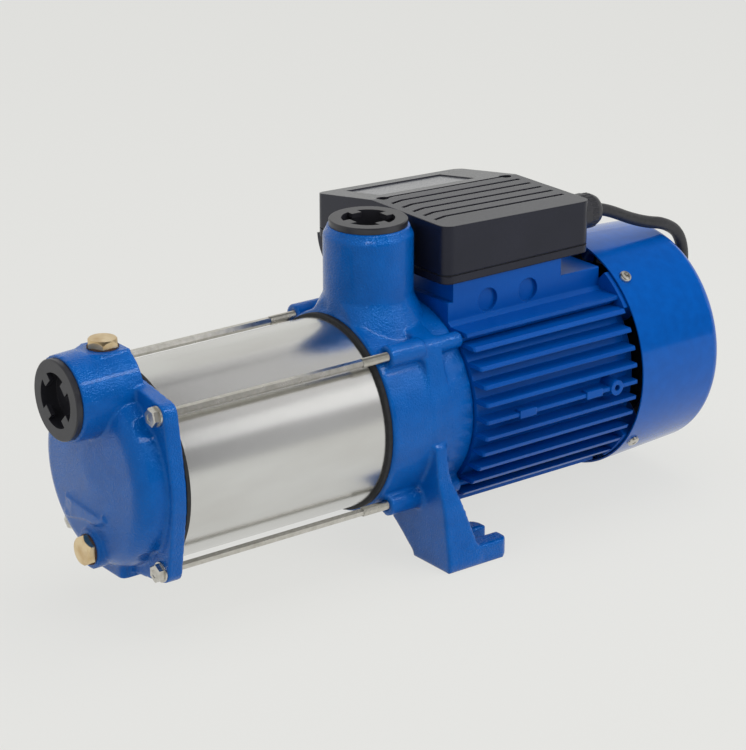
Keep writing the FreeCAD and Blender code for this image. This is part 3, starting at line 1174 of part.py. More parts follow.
# Cable gland
def cable_gland_body():
    """Threaded spigot through the box wall with its collar outside."""
    spigot = bar(GLAND_THREAD_RADIUS, BOX_X1 - BOX_WALL - 6, BOX_X1 + 1, GLAND_Y, GLAND_HEIGHT)
    collar = bar(GLAND_BODY_RADIUS, BOX_X1, BOX_X1 + GLAND_BODY_LENGTH, GLAND_Y, GLAND_HEIGHT)
    flats = hexagon(GLAND_BODY_RADIUS * 1.9, V(BOX_X1, GLAND_Y, GLAND_HEIGHT), GLAND_BODY_LENGTH, V(1, 0, 0))
    return joined(spigot, [collar.common(flats)])


def cord_start():
    return BOX_X1 + GLAND_BODY_LENGTH


def cable_gland_nut():
    """Domed clamping nut; the cord leaves through its wide mouth."""
    x0 = cord_start()
    x1 = x0 + GLAND_NUT_LENGTH
    radius = GLAND_NUT_RADIUS
    dome = turned([(x0, GLAND_MOUTH_RADIUS, 0), (x0, radius, 0), (x0 + GLAND_NUT_LENGTH * 0.45, radius, 0),
                   (x1, radius - 3.0, -1.0), (x1, GLAND_MOUTH_RADIUS, 0)])
    return dome.translated(V(0, GLAND_Y, GLAND_HEIGHT))


# Cord, its coil and the plug
def coil_turn_radius():
    """Radius of the outer turn's middle line in the coil."""
    return COIL_MEAN_RADIUS + (COIL_TURNS_WIDE - 1) * CORD_RADIUS


def coil_outer_radius():
    return COIL_MEAN_RADIUS + COIL_TURNS_WIDE * CORD_RADIUS + CORD_GAP


def coil_gate():
    """Distance past the coil's middle at which a straight cord leaves its outline."""
    return math.sqrt(coil_outer_radius() ** 2 - (coil_turn_radius() - CORD_RADIUS) ** 2) + 1.0


def coil_height():
    return COIL_TURNS_HIGH * CORD_RADIUS * 2


def entry_level():
    return FLOOR + CORD_RADIUS + CORD_GAP


def exit_level():
    return FLOOR + coil_height() - CORD_RADIUS - CORD_GAP


def cord_points():
    """Middle line of the cord from the gland over the fan cover and down to the coil."""
    x = cord_start()
    y = GLAND_Y
    back = COVER_BACK
    gate = COIL_X + coil_gate()
    near = COIL_Y - coil_turn_radius()
    level = entry_level()
    over = COVER_REAR_RADIUS + CORD_RADIUS + CORD_COVER_GAP
    return [(x, y, GLAND_HEIGHT), (x + GLAND_NUT_LENGTH, y, GLAND_HEIGHT),
            (x + 25, y, GLAND_HEIGHT - CORD_RADIUS), (x + 42, y, over + 9.2), (x + 58, y, over + 3.8),
            (x + 73, y, over), (back + 10, y, over - 9.1), (back + 16, y + 1, over - 29.6),
            (back + 15, y + 6, over - 54.6), (back + 12, y + 15, FLOOR * 0.045),
            (back + 9, y + 28, FLOOR * 0.356), (back + 7, y + 44, FLOOR * 0.645), (back, y + 64, FLOOR * 0.856),
            (back - GLAND_NUT_LENGTH, y + 90, level + 0.5), (back - 38, near - 17, level),
            (gate + 48, near - 2, level), (gate + 22, near, level), (gate, near, level)]


def tail_points():
    """Middle line of the short end between the coil and the plug."""
    x = COIL_X + coil_gate()
    far = COIL_Y + coil_turn_radius()
    axis = FLOOR + PLUG_BODY_RADIUS
    return [(x, far, exit_level()), (x + 16, far, exit_level()), (x + 44, far - 3, axis),
            (x + 60, far - 3, axis)]


def cord_path(points):
    """Straight runs joined by tangent arcs, each as large as its two runs allow."""
    points = [V(*p) for p in points]
    edges = []
    radii = []
    last = points[0]
    for i in range(1, len(points) - 1):
        back = points[i - 1] - points[i]
        ahead = points[i + 1] - points[i]
        reach = 0.45 * min(back.Length, ahead.Length)
        back.normalize()
        ahead.normalize()
        turn = math.pi - back.getAngle(ahead)
        radius = reach / math.tan(turn / 2)
        radii.append(round(radius, 1))
        middle = back + ahead
        middle.normalize()
        start = points[i] + back * reach
        end = points[i] + ahead * reach
        top = points[i] + middle * (math.hypot(radius, reach) - radius)
        edges.append(Part.LineSegment(last, start).toShape())
        edges.append(Part.Arc(start, top, end).toShape())
        last = end
    edges.append(Part.LineSegment(last, points[-1]).toShape())
    return Part.Wire(edges), radii


def cord_tube(points):
    path, radii = cord_path(points)
    first = path.OrderedEdges[0]
    section = Part.Wire(Part.Circle(first.valueAt(first.FirstParameter), first.tangentAt(first.FirstParameter),
                                    CORD_RADIUS).toShape())
    tube = path.makePipeShell([section], True, False)
    print("radii", radii)
    print("length %.1f, volume %.1f, section times length %.1f"
          % (path.Length, tube.Volume, math.pi * CORD_RADIUS ** 2 * path.Length))
    return tube


def power_cord():
    return cord_tube(cord_points())


def power_cord_tail():
    return cord_tube(tail_points())


def power_cord_coil():
    """Outer shape of the coiled rest of the cord, flat on the floor, with its two straight ends."""
    inner = COIL_MEAN_RADIUS - COIL_TURNS_WIDE * CORD_RADIUS - CORD_GAP
    coil = post(coil_outer_radius(), FLOOR, FLOOR + coil_height(), COIL_X, COIL_Y)
    entry = bar(CORD_RADIUS, COIL_X, COIL_X + coil_gate(), COIL_Y - coil_turn_radius(), entry_level())
    leaving = bar(CORD_RADIUS, COIL_X, COIL_X + coil_gate(), COIL_Y + coil_turn_radius(), exit_level())
    hollow = post(inner, FLOOR, FLOOR + coil_height(), COIL_X, COIL_Y)
    return joined(coil.cut(hollow), [entry, leaving])


def along_plug(radius0, radius1, x0, x1):
    """Round piece of the plug between two distances from the strain relief's end."""
    place = V(*tail_points()[-1]) + V(x0, 0, 0)
    if radius0 == radius1:
        return Part.makeCylinder(radius0, x1 - x0, place, V(1, 0, 0))
    return Part.makeCone(radius0, radius1, x1 - x0, place, V(1, 0, 0))


def plug_body():
    """Moulded two-pin plug with its tapered strain relief, lying on the floor."""
    end = RELIEF_LENGTH + PLUG_BODY_LENGTH
    neck_end = RELIEF_LENGTH + PLUG_BODY_LENGTH * 0.45
    relief = along_plug(CORD_RADIUS + 1.2, RELIEF_RADIUS, 0, RELIEF_LENGTH)
    neck = along_plug(RELIEF_RADIUS + 3, PLUG_BODY_RADIUS, RELIEF_LENGTH - 0.5, neck_end)
    face = along_plug(PLUG_BODY_RADIUS, PLUG_BODY_RADIUS, neck_end, end)
    body = joined(relief, [neck, face])
    start = V(*tail_points()[-1])
    cuts = []
    for side in (-1, 1):
        rib = start + V(end - 12, side * PLUG_BODY_RADIUS, 0)
        cuts.append(block(rib.x, rib.x + 13, rib.y - 2.2, rib.y + 2.2, rib.z - 2.5, rib.z + 2.5))
        hole = start + V(end - PLUG_PIN_ROOT, side * PLUG_PIN_SPACING / 2, 0)
        cuts.append(bar(PLUG_PIN_RADIUS, hole.x, hole.x + PLUG_PIN_ROOT + 1, hole.y, hole.z))
    return body.cut(cuts)


def plug_pins():
    pins = []
    start = V(*tail_points()[-1])
    x0 = start.x + RELIEF_LENGTH + PLUG_BODY_LENGTH - PLUG_PIN_ROOT
    for side in (-1, 1):
        pin = bar(PLUG_PIN_RADIUS, x0, x0 + PLUG_PIN_ROOT + PLUG_PIN_LENGTH,
                  start.y + side * PLUG_PIN_SPACING / 2, start.z)
        tip = [e for e in pin.Edges if e.BoundBox.XMin > x0 + PLUG_PIN_LENGTH]
        pins.append(pin.makeChamfer(0.8, tip))
    return Part.makeCompound(pins)


PIECES = {
    "suction_casing": suction_casing,
    "suction_port_cap": suction_port_cap,
    "priming_plug": priming_plug,
    "drain_plug": drain_plug,
    "plug_washers": plug_washers,
    "front_gasket": lambda: sleeve_gasket(CASING_BACK, FRONT_GASKET_THICKNESS),
    "pump_sleeve": pump_sleeve,
    "rear_gasket": lambda: sleeve_gasket(SLEEVE_BACK, GASKET_THICKNESS),
    "sleeve_tie_bolts": sleeve_tie_bolts,
    "tie_bolt_washers": tie_bolt_washers,
    "inlet_plate": inlet_plate,
    "impeller_spacers": impeller_spacers,
    "impeller_key": impeller_key,
    "shaft_nut": shaft_nut,
    "pump_shaft": pump_shaft,
    "seal_seat": seal_seat,
    "seal_head": seal_head,
    "seal_bellows": seal_bellows,
    "slinger_ring": slinger_ring,
    "pump_bracket": pump_bracket,
    "discharge_port_cap": discharge_port_cap,
    "front_bearing_outer": lambda: bearing_outer(FRONT_BEARING_RADIUS, FRONT_BEARING_X, FRONT_BEARING_WIDTH),
    "front_bearing_inner": lambda: bearing_inner(DRIVE_SHAFT_RADIUS, FRONT_BEARING_RADIUS, FRONT_BEARING_X,
                                                 FRONT_BEARING_WIDTH),
    "rear_bearing_outer": lambda: bearing_outer(REAR_BEARING_RADIUS, REAR_BEARING_X, REAR_BEARING_WIDTH),
    "rear_bearing_inner": lambda: bearing_inner(REAR_JOURNAL_RADIUS, REAR_BEARING_RADIUS, REAR_BEARING_X,
                                                REAR_BEARING_WIDTH),
    "bearing_wave_washer": bearing_wave_washer,
    "rotor_core": rotor_core,
    "stator_core": stator_core,
    "stator_windings": stator_windings,
    "motor_housing": motor_housing,
    "rear_end_shield": rear_end_shield,
    "motor_tie_bolts": motor_tie_bolts,
    "cooling_fan": cooling_fan,
    "fan_circlip": fan_circlip,
    "fan_cover": fan_cover,
    "fan_cover_screws": fan_cover_screws,
    "terminal_box_base": terminal_box_base,
    "terminal_box_gasket": terminal_box_gasket,
    "terminal_box_cover": terminal_box_cover,
    "terminal_box_screws": terminal_box_screws,
    "terminal_block": terminal_block,
    "run_capacitor": run_capacitor,
    "cable_gland_body": cable_gland_body,
    "cable_gland_nut": cable_gland_nut,
    "power_cord": power_cord,
    "power_cord_coil": power_cord_coil,
    "power_cord_tail": power_cord_tail,
    "plug_body": plug_body,
    "plug_pins": plug_pins,
}

os.makedirs("parts", exist_ok=True)
for name, make in PIECES.items():
    save(name, make())
for i in range(STAGES):
    save("stage_casing_%d" % (i + 1), stage_casing(i))
    save("impeller_%d" % (i + 1), impeller(i))
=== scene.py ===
import bpy
import bmesh
import math
from mathutils import Matrix, Vector


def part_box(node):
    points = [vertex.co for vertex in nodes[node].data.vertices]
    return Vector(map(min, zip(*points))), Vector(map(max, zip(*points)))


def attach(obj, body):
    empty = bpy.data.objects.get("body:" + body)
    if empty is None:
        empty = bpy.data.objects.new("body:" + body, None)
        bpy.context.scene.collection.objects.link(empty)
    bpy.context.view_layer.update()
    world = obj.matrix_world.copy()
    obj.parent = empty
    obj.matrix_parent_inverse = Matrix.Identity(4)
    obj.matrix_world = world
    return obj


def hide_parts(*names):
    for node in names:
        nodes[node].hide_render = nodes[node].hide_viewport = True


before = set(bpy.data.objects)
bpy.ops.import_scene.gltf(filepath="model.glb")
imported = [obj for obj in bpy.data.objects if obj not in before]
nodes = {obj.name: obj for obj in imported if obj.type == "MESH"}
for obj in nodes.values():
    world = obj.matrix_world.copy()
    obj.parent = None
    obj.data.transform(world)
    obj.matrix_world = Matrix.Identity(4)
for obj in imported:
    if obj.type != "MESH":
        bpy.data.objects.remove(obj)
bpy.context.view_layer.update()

# Camera. The photograph looks down on the pump from its suction end, from a long way off, so that
# lines along the shaft hardly converge.
camera_place = Vector((-0.9328, -1.2099, 0.6683))
towards_camera = Vector((-0.5635, -0.7486, 0.3476)).normalized()
camera = bpy.data.objects.new("camera", bpy.data.cameras.new("camera"))
bpy.context.scene.collection.objects.link(camera)
camera.data.sensor_width = 36.0
camera.data.lens = 124.65
camera.data.clip_start = 0.05
camera.data.clip_end = 50.0
camera.rotation_mode = "QUATERNION"
camera.rotation_quaternion = (-towards_camera).to_track_quat("-Z", "Y")
camera.location = camera_place
bpy.context.scene.camera = camera
bpy.context.scene.view_settings.view_transform = "Standard"


# Studio. A sheet of seamless paper under the pump and a pale room round it; the dark wall and ceiling
# behind the camera only show in gloss, where they draw the paper's edge across metal and enamel.
def linear(colour):
    """sRGB hex colour as linear red, green, blue and alpha."""
    parts = [int(colour[i:i + 2], 16) / 255 for i in (1, 3, 5)]
    return [c / 12.92 if c <= 0.04045 else ((c + 0.055) / 1.055) ** 2.4 for c in parts] + [1.0]


def add(tree, kind, feeds=None, **settings):
    """Add a node. Settings are its properties or named inputs; feeds link a node or a socket to an input,
    or give it a number."""
    made = tree.nodes.new("ShaderNode" + kind)
    for key, value in settings.items():
        if hasattr(made, key):
            setattr(made, key, value)
        else:
            made.inputs[key.replace("_", " ")].default_value = value
    for key, source in (feeds or {}).items():
        if isinstance(source, bpy.types.Node):
            source = source.outputs[0]
        if isinstance(source, float):
            made.inputs[key].default_value = source
        else:
            tree.links.new(source, made.inputs[key])
    return made


def surface(name, colour, roughness, **settings):
    """New material with one shader; gives back the material, its tree and the shader."""
    material = bpy.data.materials.new(name)
    material.use_nodes = True
    shader = material.node_tree.nodes["Principled BSDF"]
    shader.inputs["Base Color"].default_value = linear(colour)
    shader.inputs["Roughness"].default_value = roughness
    for key, value in settings.items():
        shader.inputs[key.replace("_", " ")].default_value = value
    return material, material.node_tree, shader


def seen_rays(tree):
    """1 for rays from the camera, off gloss or through glass, and 0 for the light itself."""
    rays = add(tree, "LightPath").outputs
    direct = add(tree, "Math", {0: rays["Is Camera Ray"], 1: rays["Is Glossy Ray"]}, operation="ADD")
    return add(tree, "Math", {0: direct, 1: rays["Is Transmission Ray"]}, operation="ADD", use_clamp=True)


# Seamless paper: matt and evenly pale. Most of what the camera sees is the paper's own tone, so that the
# pump's shadow on it stays faint.
paper_grey = "#E5E5E2"
paper_width = 12.0
own_tone = 0.85
bpy.ops.object.select_all(action="DESELECT")
bpy.ops.mesh.primitive_plane_add(size=paper_width)
floor = bpy.context.object
floor.name = "paper_floor"
paper, tree, shader = surface("seamless_paper", paper_grey, 0.9)
glow = add(tree, "Emission", Color=linear(paper_grey))
share = add(tree, "Math", {0: seen_rays(tree), 1: own_tone}, operation="MULTIPLY")
mixed = add(tree, "MixShader", {0: share, 1: shader, 2: glow})
tree.links.new(mixed.outputs[0], tree.nodes["Material Output"].inputs["Surface"])
floor.data.materials.append(paper)

# Unlit studio walls: dark grey and without gloss. Each has its place, its turn about the shaft's
# direction, its width and its height.
wall_grey = "#58585A"
unlit, tree, shader = surface("unlit_studio_wall", wall_grey, 1.0)
tree.links.new(add(tree, "Emission", Color=linear(wall_grey)).outputs[0],
               tree.nodes["Material Output"].inputs["Surface"])
for name, place, turn, width, height in [("unlit_wall", (1.8, -2.6, 1.35), 90, 7.0, 2.5),
                                         ("unlit_ceiling", (1.8, -0.5, 2.6), 0, 7.0, 4.2)]:
    bpy.ops.object.select_all(action="DESELECT")
    bpy.ops.mesh.primitive_plane_add(size=1.0, location=place, rotation=(math.radians(turn), 0, 0))
    wall = bpy.context.object
    wall.name = name
    wall.scale = (width, height, 1.0)
    for ray in ("camera", "diffuse", "transmission", "shadow"):
        setattr(wall, "visible_" + ray, False)
    wall.data.materials.append(unlit)

# The room's own light, and the pale tone that shows wherever the room is seen.
room_light = 0.52
world = bpy.data.worlds.new("studio")
bpy.context.scene.world = world
world.use_nodes = True
tree = world.node_tree
room = tree.nodes["Background"]
room.inputs["Color"].default_value = linear("#FFFFFF")
room.inputs["Strength"].default_value = room_light
seen = add(tree, "Background", Color=linear(paper_grey), Strength=1.0)
mixed = add(tree, "MixShader", {0: seen_rays(tree), 1: room, 2: seen})
tree.links.new(mixed.outputs[0], tree.nodes["World Output"].inputs["Surface"])

lit_point = Vector((-0.08, 0, 0.1))


def soft_box(name, place, width, height, radiance):
    """Rectangular lamp that faces the pump; its face has the given radiance, where 1 is white."""
    light = bpy.data.lights.new(name, "AREA")
    light.shape = "RECTANGLE"
    light.size, light.size_y = width, height
    light.energy = radiance * math.pi * width * height
    made = bpy.data.objects.new(name, light)
    bpy.context.scene.collection.objects.link(made)
    made.location = place
    back = (Vector(place) - lit_point).normalized()
    across = (Vector((1, 0, 0)) - back * back.x).normalized()
    made.rotation_mode = "QUATERNION"
    made.rotation_quaternion = Matrix((across, back.cross(across), back)).transposed().to_quaternion()
    return made


for name, place, width, height, radiance in [("overhead_soft_box", (0.1, 0.0, 1.6), 1.5, 1.2, 1.5),
                                             ("fill_soft_box", (0.7, -1.7, 1.2), 1.0, 0.8, 4.0),
                                             ("left_soft_box", (-1.7, -0.5, 0.8), 0.9, 1.0, 0.9)]:
    lamp = soft_box(name, place, width, height, radiance)
    lamp.visible_glossy = False
# An arc of pale cards that the sleeve mirrors, from behind it over the top to the near side: the angle
# from the top, half the card's spread, and how bright it is.
arc_x, arc_radius, card_length = 0.427, 0.743, 0.44
cards = [(-24, 8, 0.58), (4, 20, 0.58), (34, 10, 0.74), (55, 11, 1.10), (78, 12, 0.42)]
for i, (lean, spread, radiance) in enumerate(cards):
    turn = math.radians(lean)
    place = (arc_x, -arc_radius * math.sin(turn), lit_point.z + arc_radius * math.cos(turn))
    card_width = 2 * arc_radius * math.tan(math.radians(spread))
    soft_box("sleeve_card_%d" % (i + 1), place, card_length, card_width, radiance)
# A bare tube, long and hot, that only shows as sparks in the gloss of the cast enamel.
cast_pieces = bpy.data.collections.new("cast_pieces")
tube = soft_box("bare_tube", (-0.02, -0.53, 0.72), 1.1, 0.12, 13.0)
tube.visible_diffuse = False
tube.light_linking.receiver_collection = cast_pieces


# Suction casing. A grey-iron casting with the suction nozzle, the seats for its two plugs and a lobed
# flange for the tie bolts; fettled, shot blasted and sprayed with one coat of blue enamel.
def alone(piece):
    """Make a piece the only one selected, and the active one."""
    bpy.ops.object.select_all(action="DESELECT")
    piece.select_set(True)
    bpy.context.view_layer.objects.active = piece


def settle(piece):
    """Put a piece's place, turn and scale into its mesh."""
    alone(piece)
    bpy.ops.object.transform_apply(location=True, rotation=True, scale=True)


def added(kind, name, stretch=(1, 1, 1), **place):
    """Add a primitive with nothing else selected."""
    bpy.ops.object.select_all(action="DESELECT")
    getattr(bpy.ops.mesh, "primitive_" + kind + "_add")(**place)
    piece = bpy.context.object
    piece.name = name
    piece.scale = stretch
    settle(piece)
    return piece


def modified(piece, kind, **settings):
    """Give a piece a modifier and apply it."""
    alone(piece)
    modifier = piece.modifiers.new(kind.lower(), kind)
    for key, value in settings.items():
        setattr(modifier, key, value)
    bpy.ops.object.modifier_apply(modifier=modifier.name)


def placed(piece, material, body, slot, *stands_for, angle=35):
    """Apply a piece's place, give it its material, and let it ride on its body."""
    settle(piece)
    bpy.ops.object.shade_smooth_by_angle(angle=math.radians(angle))
    piece.data.materials.clear()
    piece.data.materials.append(material)
    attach(piece, body)
    if stands_for:
        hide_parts(*stands_for)
    return piece


def copied(piece, name):
    """Copy a piece with a mesh of its own."""
    made = piece.copy()
    made.data = piece.data.copy()
    made.name = name
    bpy.context.scene.collection.objects.link(made)
    return made


def merged_copy(node, name):
    """Copy of a CAD solid with its loose triangles merged, free of the solid it comes from."""
    piece = copied(nodes[node], name)
    for key in list(piece.keys()):
        del piece[key]
    piece.parent = None
    alone(piece)
    bpy.ops.object.mode_set(mode="EDIT")
    bpy.ops.mesh.select_all(action="SELECT")
    bpy.ops.mesh.remove_doubles(threshold=0.00001)
    bpy.ops.object.mode_set(mode="OBJECT")
    return piece


def cast(piece, grid, *raised):
    """Melt a piece and what is raised on it into one skin, with edges as round as sand casting leaves."""
    for part in raised:
        alone(piece)
        part.select_set(True)
        bpy.ops.object.join()
    modified(piece, "REMESH", mode="VOXEL", voxel_size=grid, use_smooth_shade=True)
    modified(piece, "SMOOTH", factor=0.5, iterations=2)
    return piece


def edit(piece, kind, rule):
    """Go into edit mode with only the faces or edges that fit a rule selected."""
    if piece.mode != "EDIT":
        alone(piece)
        bpy.ops.object.mode_set(mode="EDIT")
    bpy.ops.mesh.select_mode(type=kind)
    bpy.ops.mesh.select_all(action="DESELECT")
    shape = bmesh.from_edit_mesh(piece.data)
    for part in shape.faces if kind == "FACE" else shape.edges:
        part.select_set(rule(part))
    shape.select_flush_mode()
    bmesh.update_edit_mesh(piece.data)


def every(millimetres):
    """Scale of a pattern whose grains come every so many millimetres."""
    return 1000 / millimetres


def stretched(tree, *scale):
    """Object coordinates scaled along each axis: under 1 stretches a pattern there, over 1 squeezes it."""
    return add(tree, "Mapping", {0: add(tree, "TexCoord").outputs["Object"]}, Scale=scale)


def mottled(tree, shader, pattern, dark, pale, start=0.3, end=0.7):
    """Let the base colour go from a dark to a pale tone over the middle of a pattern."""
    share = add(tree, "MapRange", {0: pattern}, From_Min=start, From_Max=end)
    tones = add(tree, "MixRGB", {0: share}, Color1=linear(dark), Color2=linear(pale))
    tree.links.new(tones.outputs[0], shader.inputs["Base Color"])
    return tones


def relief(tree, shader, height, depth, edge=0.0):
    """Bumps of a depth in metres; edge is the radius that catches light along sharp corners."""
    bumps = add(tree, "Bump", {"Height": height}, Distance=depth)
    if edge:
        tree.links.new(add(tree, "Bevel", samples=4, Radius=edge).outputs[0], bumps.inputs["Normal"])
    tree.links.new(bumps.outputs[0], shader.inputs["Normal"])


# Enamel over sand-cast iron: gloss that breaks into sparks over grains of 1.2 mm, which stand higher on
# the faint lumps of 12 mm that a mould leaves. The blue pigment tints the gloss too.
cast_blue, tree, shader = surface("blue_enamel_on_cast_iron", "#0056AA", 0.16, Coat_Weight=0.15,
                                  Coat_Roughness=0.06, Specular_Tint=linear("#6FB4FF"))
at = add(tree, "TexCoord").outputs["Object"]
grain = add(tree, "TexNoise", {"Vector": at}, Scale=every(1.2), Detail=2.0, Roughness=0.6)
lumps = add(tree, "TexNoise", {"Vector": at}, Scale=every(12), Detail=2.0)
both = add(tree, "Math", {0: lumps, 1: grain, 2: grain}, operation="MULTIPLY_ADD")
mottled(tree, shader, lumps, "#0053A4", "#005BB0")
relief(tree, shader, both, 0.00036)

# The direction arrow is raised on the casting: a bent shaft about the pump's axis with a broad head. It
# is drawn flat in front of the dome, wrapped on it, and melts into it with the rest.
sleeve_low, sleeve_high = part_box("pump_sleeve")
shaft_height = (sleeve_low.z + sleeve_high.z) / 2
casing = merged_copy("suction_casing", "cast_suction_casing")
pump_axis = Vector((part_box("suction_casing")[0].x - 0.001, 0, shaft_height))
arrow_radius, arrow_width, arrow_start = 0.0272, 0.0036, 0.0010
tail_sweep, neck_sweep, neck_angle, tip_angle = 39, -9, -10, -34
head_spread, tip_spread, arrow_height = 3.9, 0.05, 0.0030


def before_dome(radius, degrees):
    """Point in front of the dome, at a radius and an angle from straight below the shaft."""
    turn = math.radians(degrees)
    return pump_axis + radius * Vector((0, math.sin(turn), -math.cos(turn)))


onto_shaft = (0, math.radians(90), 0)
arrow = added("plane", "direction_arrow", (arrow_width, arrow_start, 1.0), size=1.0,
              location=before_dome(arrow_radius, 0), rotation=onto_shaft)
edit(arrow, "EDGE", lambda edge: all(end.co.y > 0.4 * arrow_start for end in edge.verts))
bpy.ops.mesh.spin(steps=10, angle=math.radians(tail_sweep), center=pump_axis, axis=(1, 0, 0))
edit(arrow, "EDGE",
     lambda edge: all(-0.6 * arrow_start < end.co.y < -0.4 * arrow_start for end in edge.verts))
bpy.ops.mesh.spin(steps=3, angle=math.radians(neck_sweep), center=pump_axis, axis=(1, 0, 0))
neck = before_dome(arrow_radius, neck_angle)
bpy.ops.mesh.extrude_region_move(TRANSFORM_OT_translate={"value": (0, 0, 0)})
bpy.ops.transform.resize(value=(1, head_spread, head_spread), center_override=neck)
tip = before_dome(arrow_radius - 0.0002, tip_angle)
bpy.ops.mesh.extrude_region_move(TRANSFORM_OT_translate={"value": tip - neck})
bpy.ops.transform.resize(value=(1, tip_spread, tip_spread), center_override=tip)
bpy.ops.mesh.select_all(action="SELECT")
bpy.ops.mesh.subdivide(number_cuts=2)
bpy.ops.object.mode_set(mode="OBJECT")
modified(arrow, "SHRINKWRAP", target=casing, wrap_method="PROJECT", use_project_x=True, use_project_y=False,
         use_project_z=False, use_positive_direction=True, use_negative_direction=False, offset=0.0)
modified(arrow, "SOLIDIFY", thickness=arrow_height, offset=0.0)
# The flange reaches a little way over its rubber ring.
flange_face, flange_reach, spigot_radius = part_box("front_gasket")[0].x, 0.0030, 0.0585
edit(casing, "FACE", lambda face: face.normal.x > 0.9
     and abs(face.calc_center_median().x - flange_face) < 0.0003
     and (face.calc_center_median() - pump_axis).yz.length > spigot_radius)
bpy.ops.transform.translate(value=(flange_reach, 0, 0))
bpy.ops.object.mode_set(mode="OBJECT")
casing_grid = 0.0010
cast(casing, casing_grid, arrow)
placed(casing, cast_blue, "frame", "painted_casting", "suction_casing", angle=180)
cast_pieces.objects.link(casing)


# Port caps. Black polypropylene screw caps that keep dirt out until the pipes go on; moulded, with four
# lugs in the opening to turn them by.
def wear(material, *names):
    """Give CAD pieces their material."""
    for name in names:
        nodes[name].data.materials.clear()
        nodes[name].data.materials.append(material)


# Polypropylene from a spark-eroded mould: dark grey rather than black, with a fine matt grain and
# slightly glossier rubbed edges.
cap_black, tree, shader = surface("moulded_black_polypropylene", "#27272C", 0.34)
at = add(tree, "TexCoord").outputs["Object"]
grain = add(tree, "TexNoise", {"Vector": at}, Scale=every(0.7), Detail=2.0)
patches = add(tree, "TexNoise", {"Vector": at}, Scale=every(12), Detail=3.0)
mottled(tree, shader, patches, "#232328", "#2C2C32")
relief(tree, shader, grain, 0.00004, edge=0.0005)
wear(cap_black, "suction_port_cap", "discharge_port_cap")


# Brass plugs. Hexagon plugs for priming and draining, hot pressed and turned; each clamps a brown
# fibre washer on its pad.
# Pressed brass: warm and a little dull, with brown tarnish in patches and fine turning rings.
brass, tree, shader = surface("turned_brass", "#DCC49A", 0.3, Metallic=1.0)
at = add(tree, "TexCoord").outputs["Object"]
tarnish = add(tree, "TexNoise", {"Vector": at}, Scale=every(9), Detail=2.0, Roughness=0.5)
scratches = add(tree, "TexNoise", {"Vector": stretched(tree, 1, 1, 6)}, Scale=every(1.2), Detail=3.0)
mottled(tree, shader, tarnish, "#CCAE7E", "#E6D0A8", 0.3, 0.62)
dulled = add(tree, "MapRange", {0: tarnish}, To_Min=0.36, To_Max=0.26)
tree.links.new(dulled.outputs[0], shader.inputs["Roughness"])
relief(tree, shader, scratches, 0.00002, edge=0.0005)
wear(brass, "priming_plug", "drain_plug")

# Vulcanised fibre: dull dark brown, soft and slightly furred at its edge.
fibre, tree, shader = surface("vulcanised_fibre", "#4E3A30", 0.8)
at = add(tree, "TexCoord").outputs["Object"]
felt = add(tree, "TexNoise", {"Vector": at}, Scale=every(0.6), Detail=4.0)
mottled(tree, shader, felt, "#42302A", "#5C463A")
relief(tree, shader, felt, 0.00006)
wear(fibre, "plug_washers")


# Sleeve. Stainless sheet rolled and laser welded into a tube, with a fine polish round it; it is
# clamped between two rubber rings.
# Polished stainless sheet: bright, with hair-fine brushing round the tube, which smears reflections
# along the shaft. The real lines are 0.05 mm apart and drawn here at 0.3 mm.
stainless, tree, shader = surface("brushed_stainless_sheet", "#D6D5D3", 0.24, Metallic=1.0)
lines = add(tree, "TexNoise", {"Vector": stretched(tree, 1, 0.02, 0.02)}, Scale=every(0.3), Detail=2.0)
clouds = add(tree, "TexNoise", {"Vector": stretched(tree, 0.3, 1, 1)}, Scale=every(30), Detail=3.0)
mottled(tree, shader, clouds, "#D0CFCC", "#DBDBD9")
polish = add(tree, "MapRange", {0: clouds}, To_Min=0.20, To_Max=0.26)
tree.links.new(polish.outputs[0], shader.inputs["Roughness"])
relief(tree, shader, lines, 0.000008)
wear(stainless, "pump_sleeve", "inlet_plate")

# Sleeve gaskets. Two rubber rings that the tie bolts squeeze between the sleeve and the castings; each
# bulges out of its joint as a small rounded lip.
# Moulded rubber: black going grey where it is stretched, without gloss.
rubber, tree, shader = surface("moulded_black_rubber", "#1E1E1F", 0.65)
at = add(tree, "TexCoord").outputs["Object"]
bloom = add(tree, "TexNoise", {"Vector": at}, Scale=every(4), Detail=5.0, Roughness=0.7)
mottled(tree, shader, bloom, "#19191A", "#2A2A2B")
relief(tree, shader, bloom, 0.0001, edge=0.0004)
wear(rubber, "seal_bellows", "slinger_ring")
rim_radius, lip_shrink, lip_round = 0.0625, 0.983, 0.0004
for node, shift in (("front_gasket", flange_reach), ("rear_gasket", 0.0)):
    seal = merged_copy(node, "rubber_" + node)
    start = min(corner.co.x for corner in seal.data.vertices)
    edit(seal, "FACE", lambda face: face.normal.x < -0.9)
    bpy.ops.transform.translate(value=(shift, 0, 0))
    edit(seal, "FACE", lambda face: abs(face.normal.x) < 0.1
         and (face.calc_center_median() - pump_axis).yz.length > rim_radius)
    bpy.ops.transform.resize(value=(1, lip_shrink, lip_shrink), center_override=(start, 0, shaft_height))
    bpy.ops.object.mode_set(mode="OBJECT")
    modified(seal, "BEVEL", width=lip_round, segments=2, angle_limit=math.radians(50))
    placed(seal, rubber, "frame", "gasket_rubber", node)


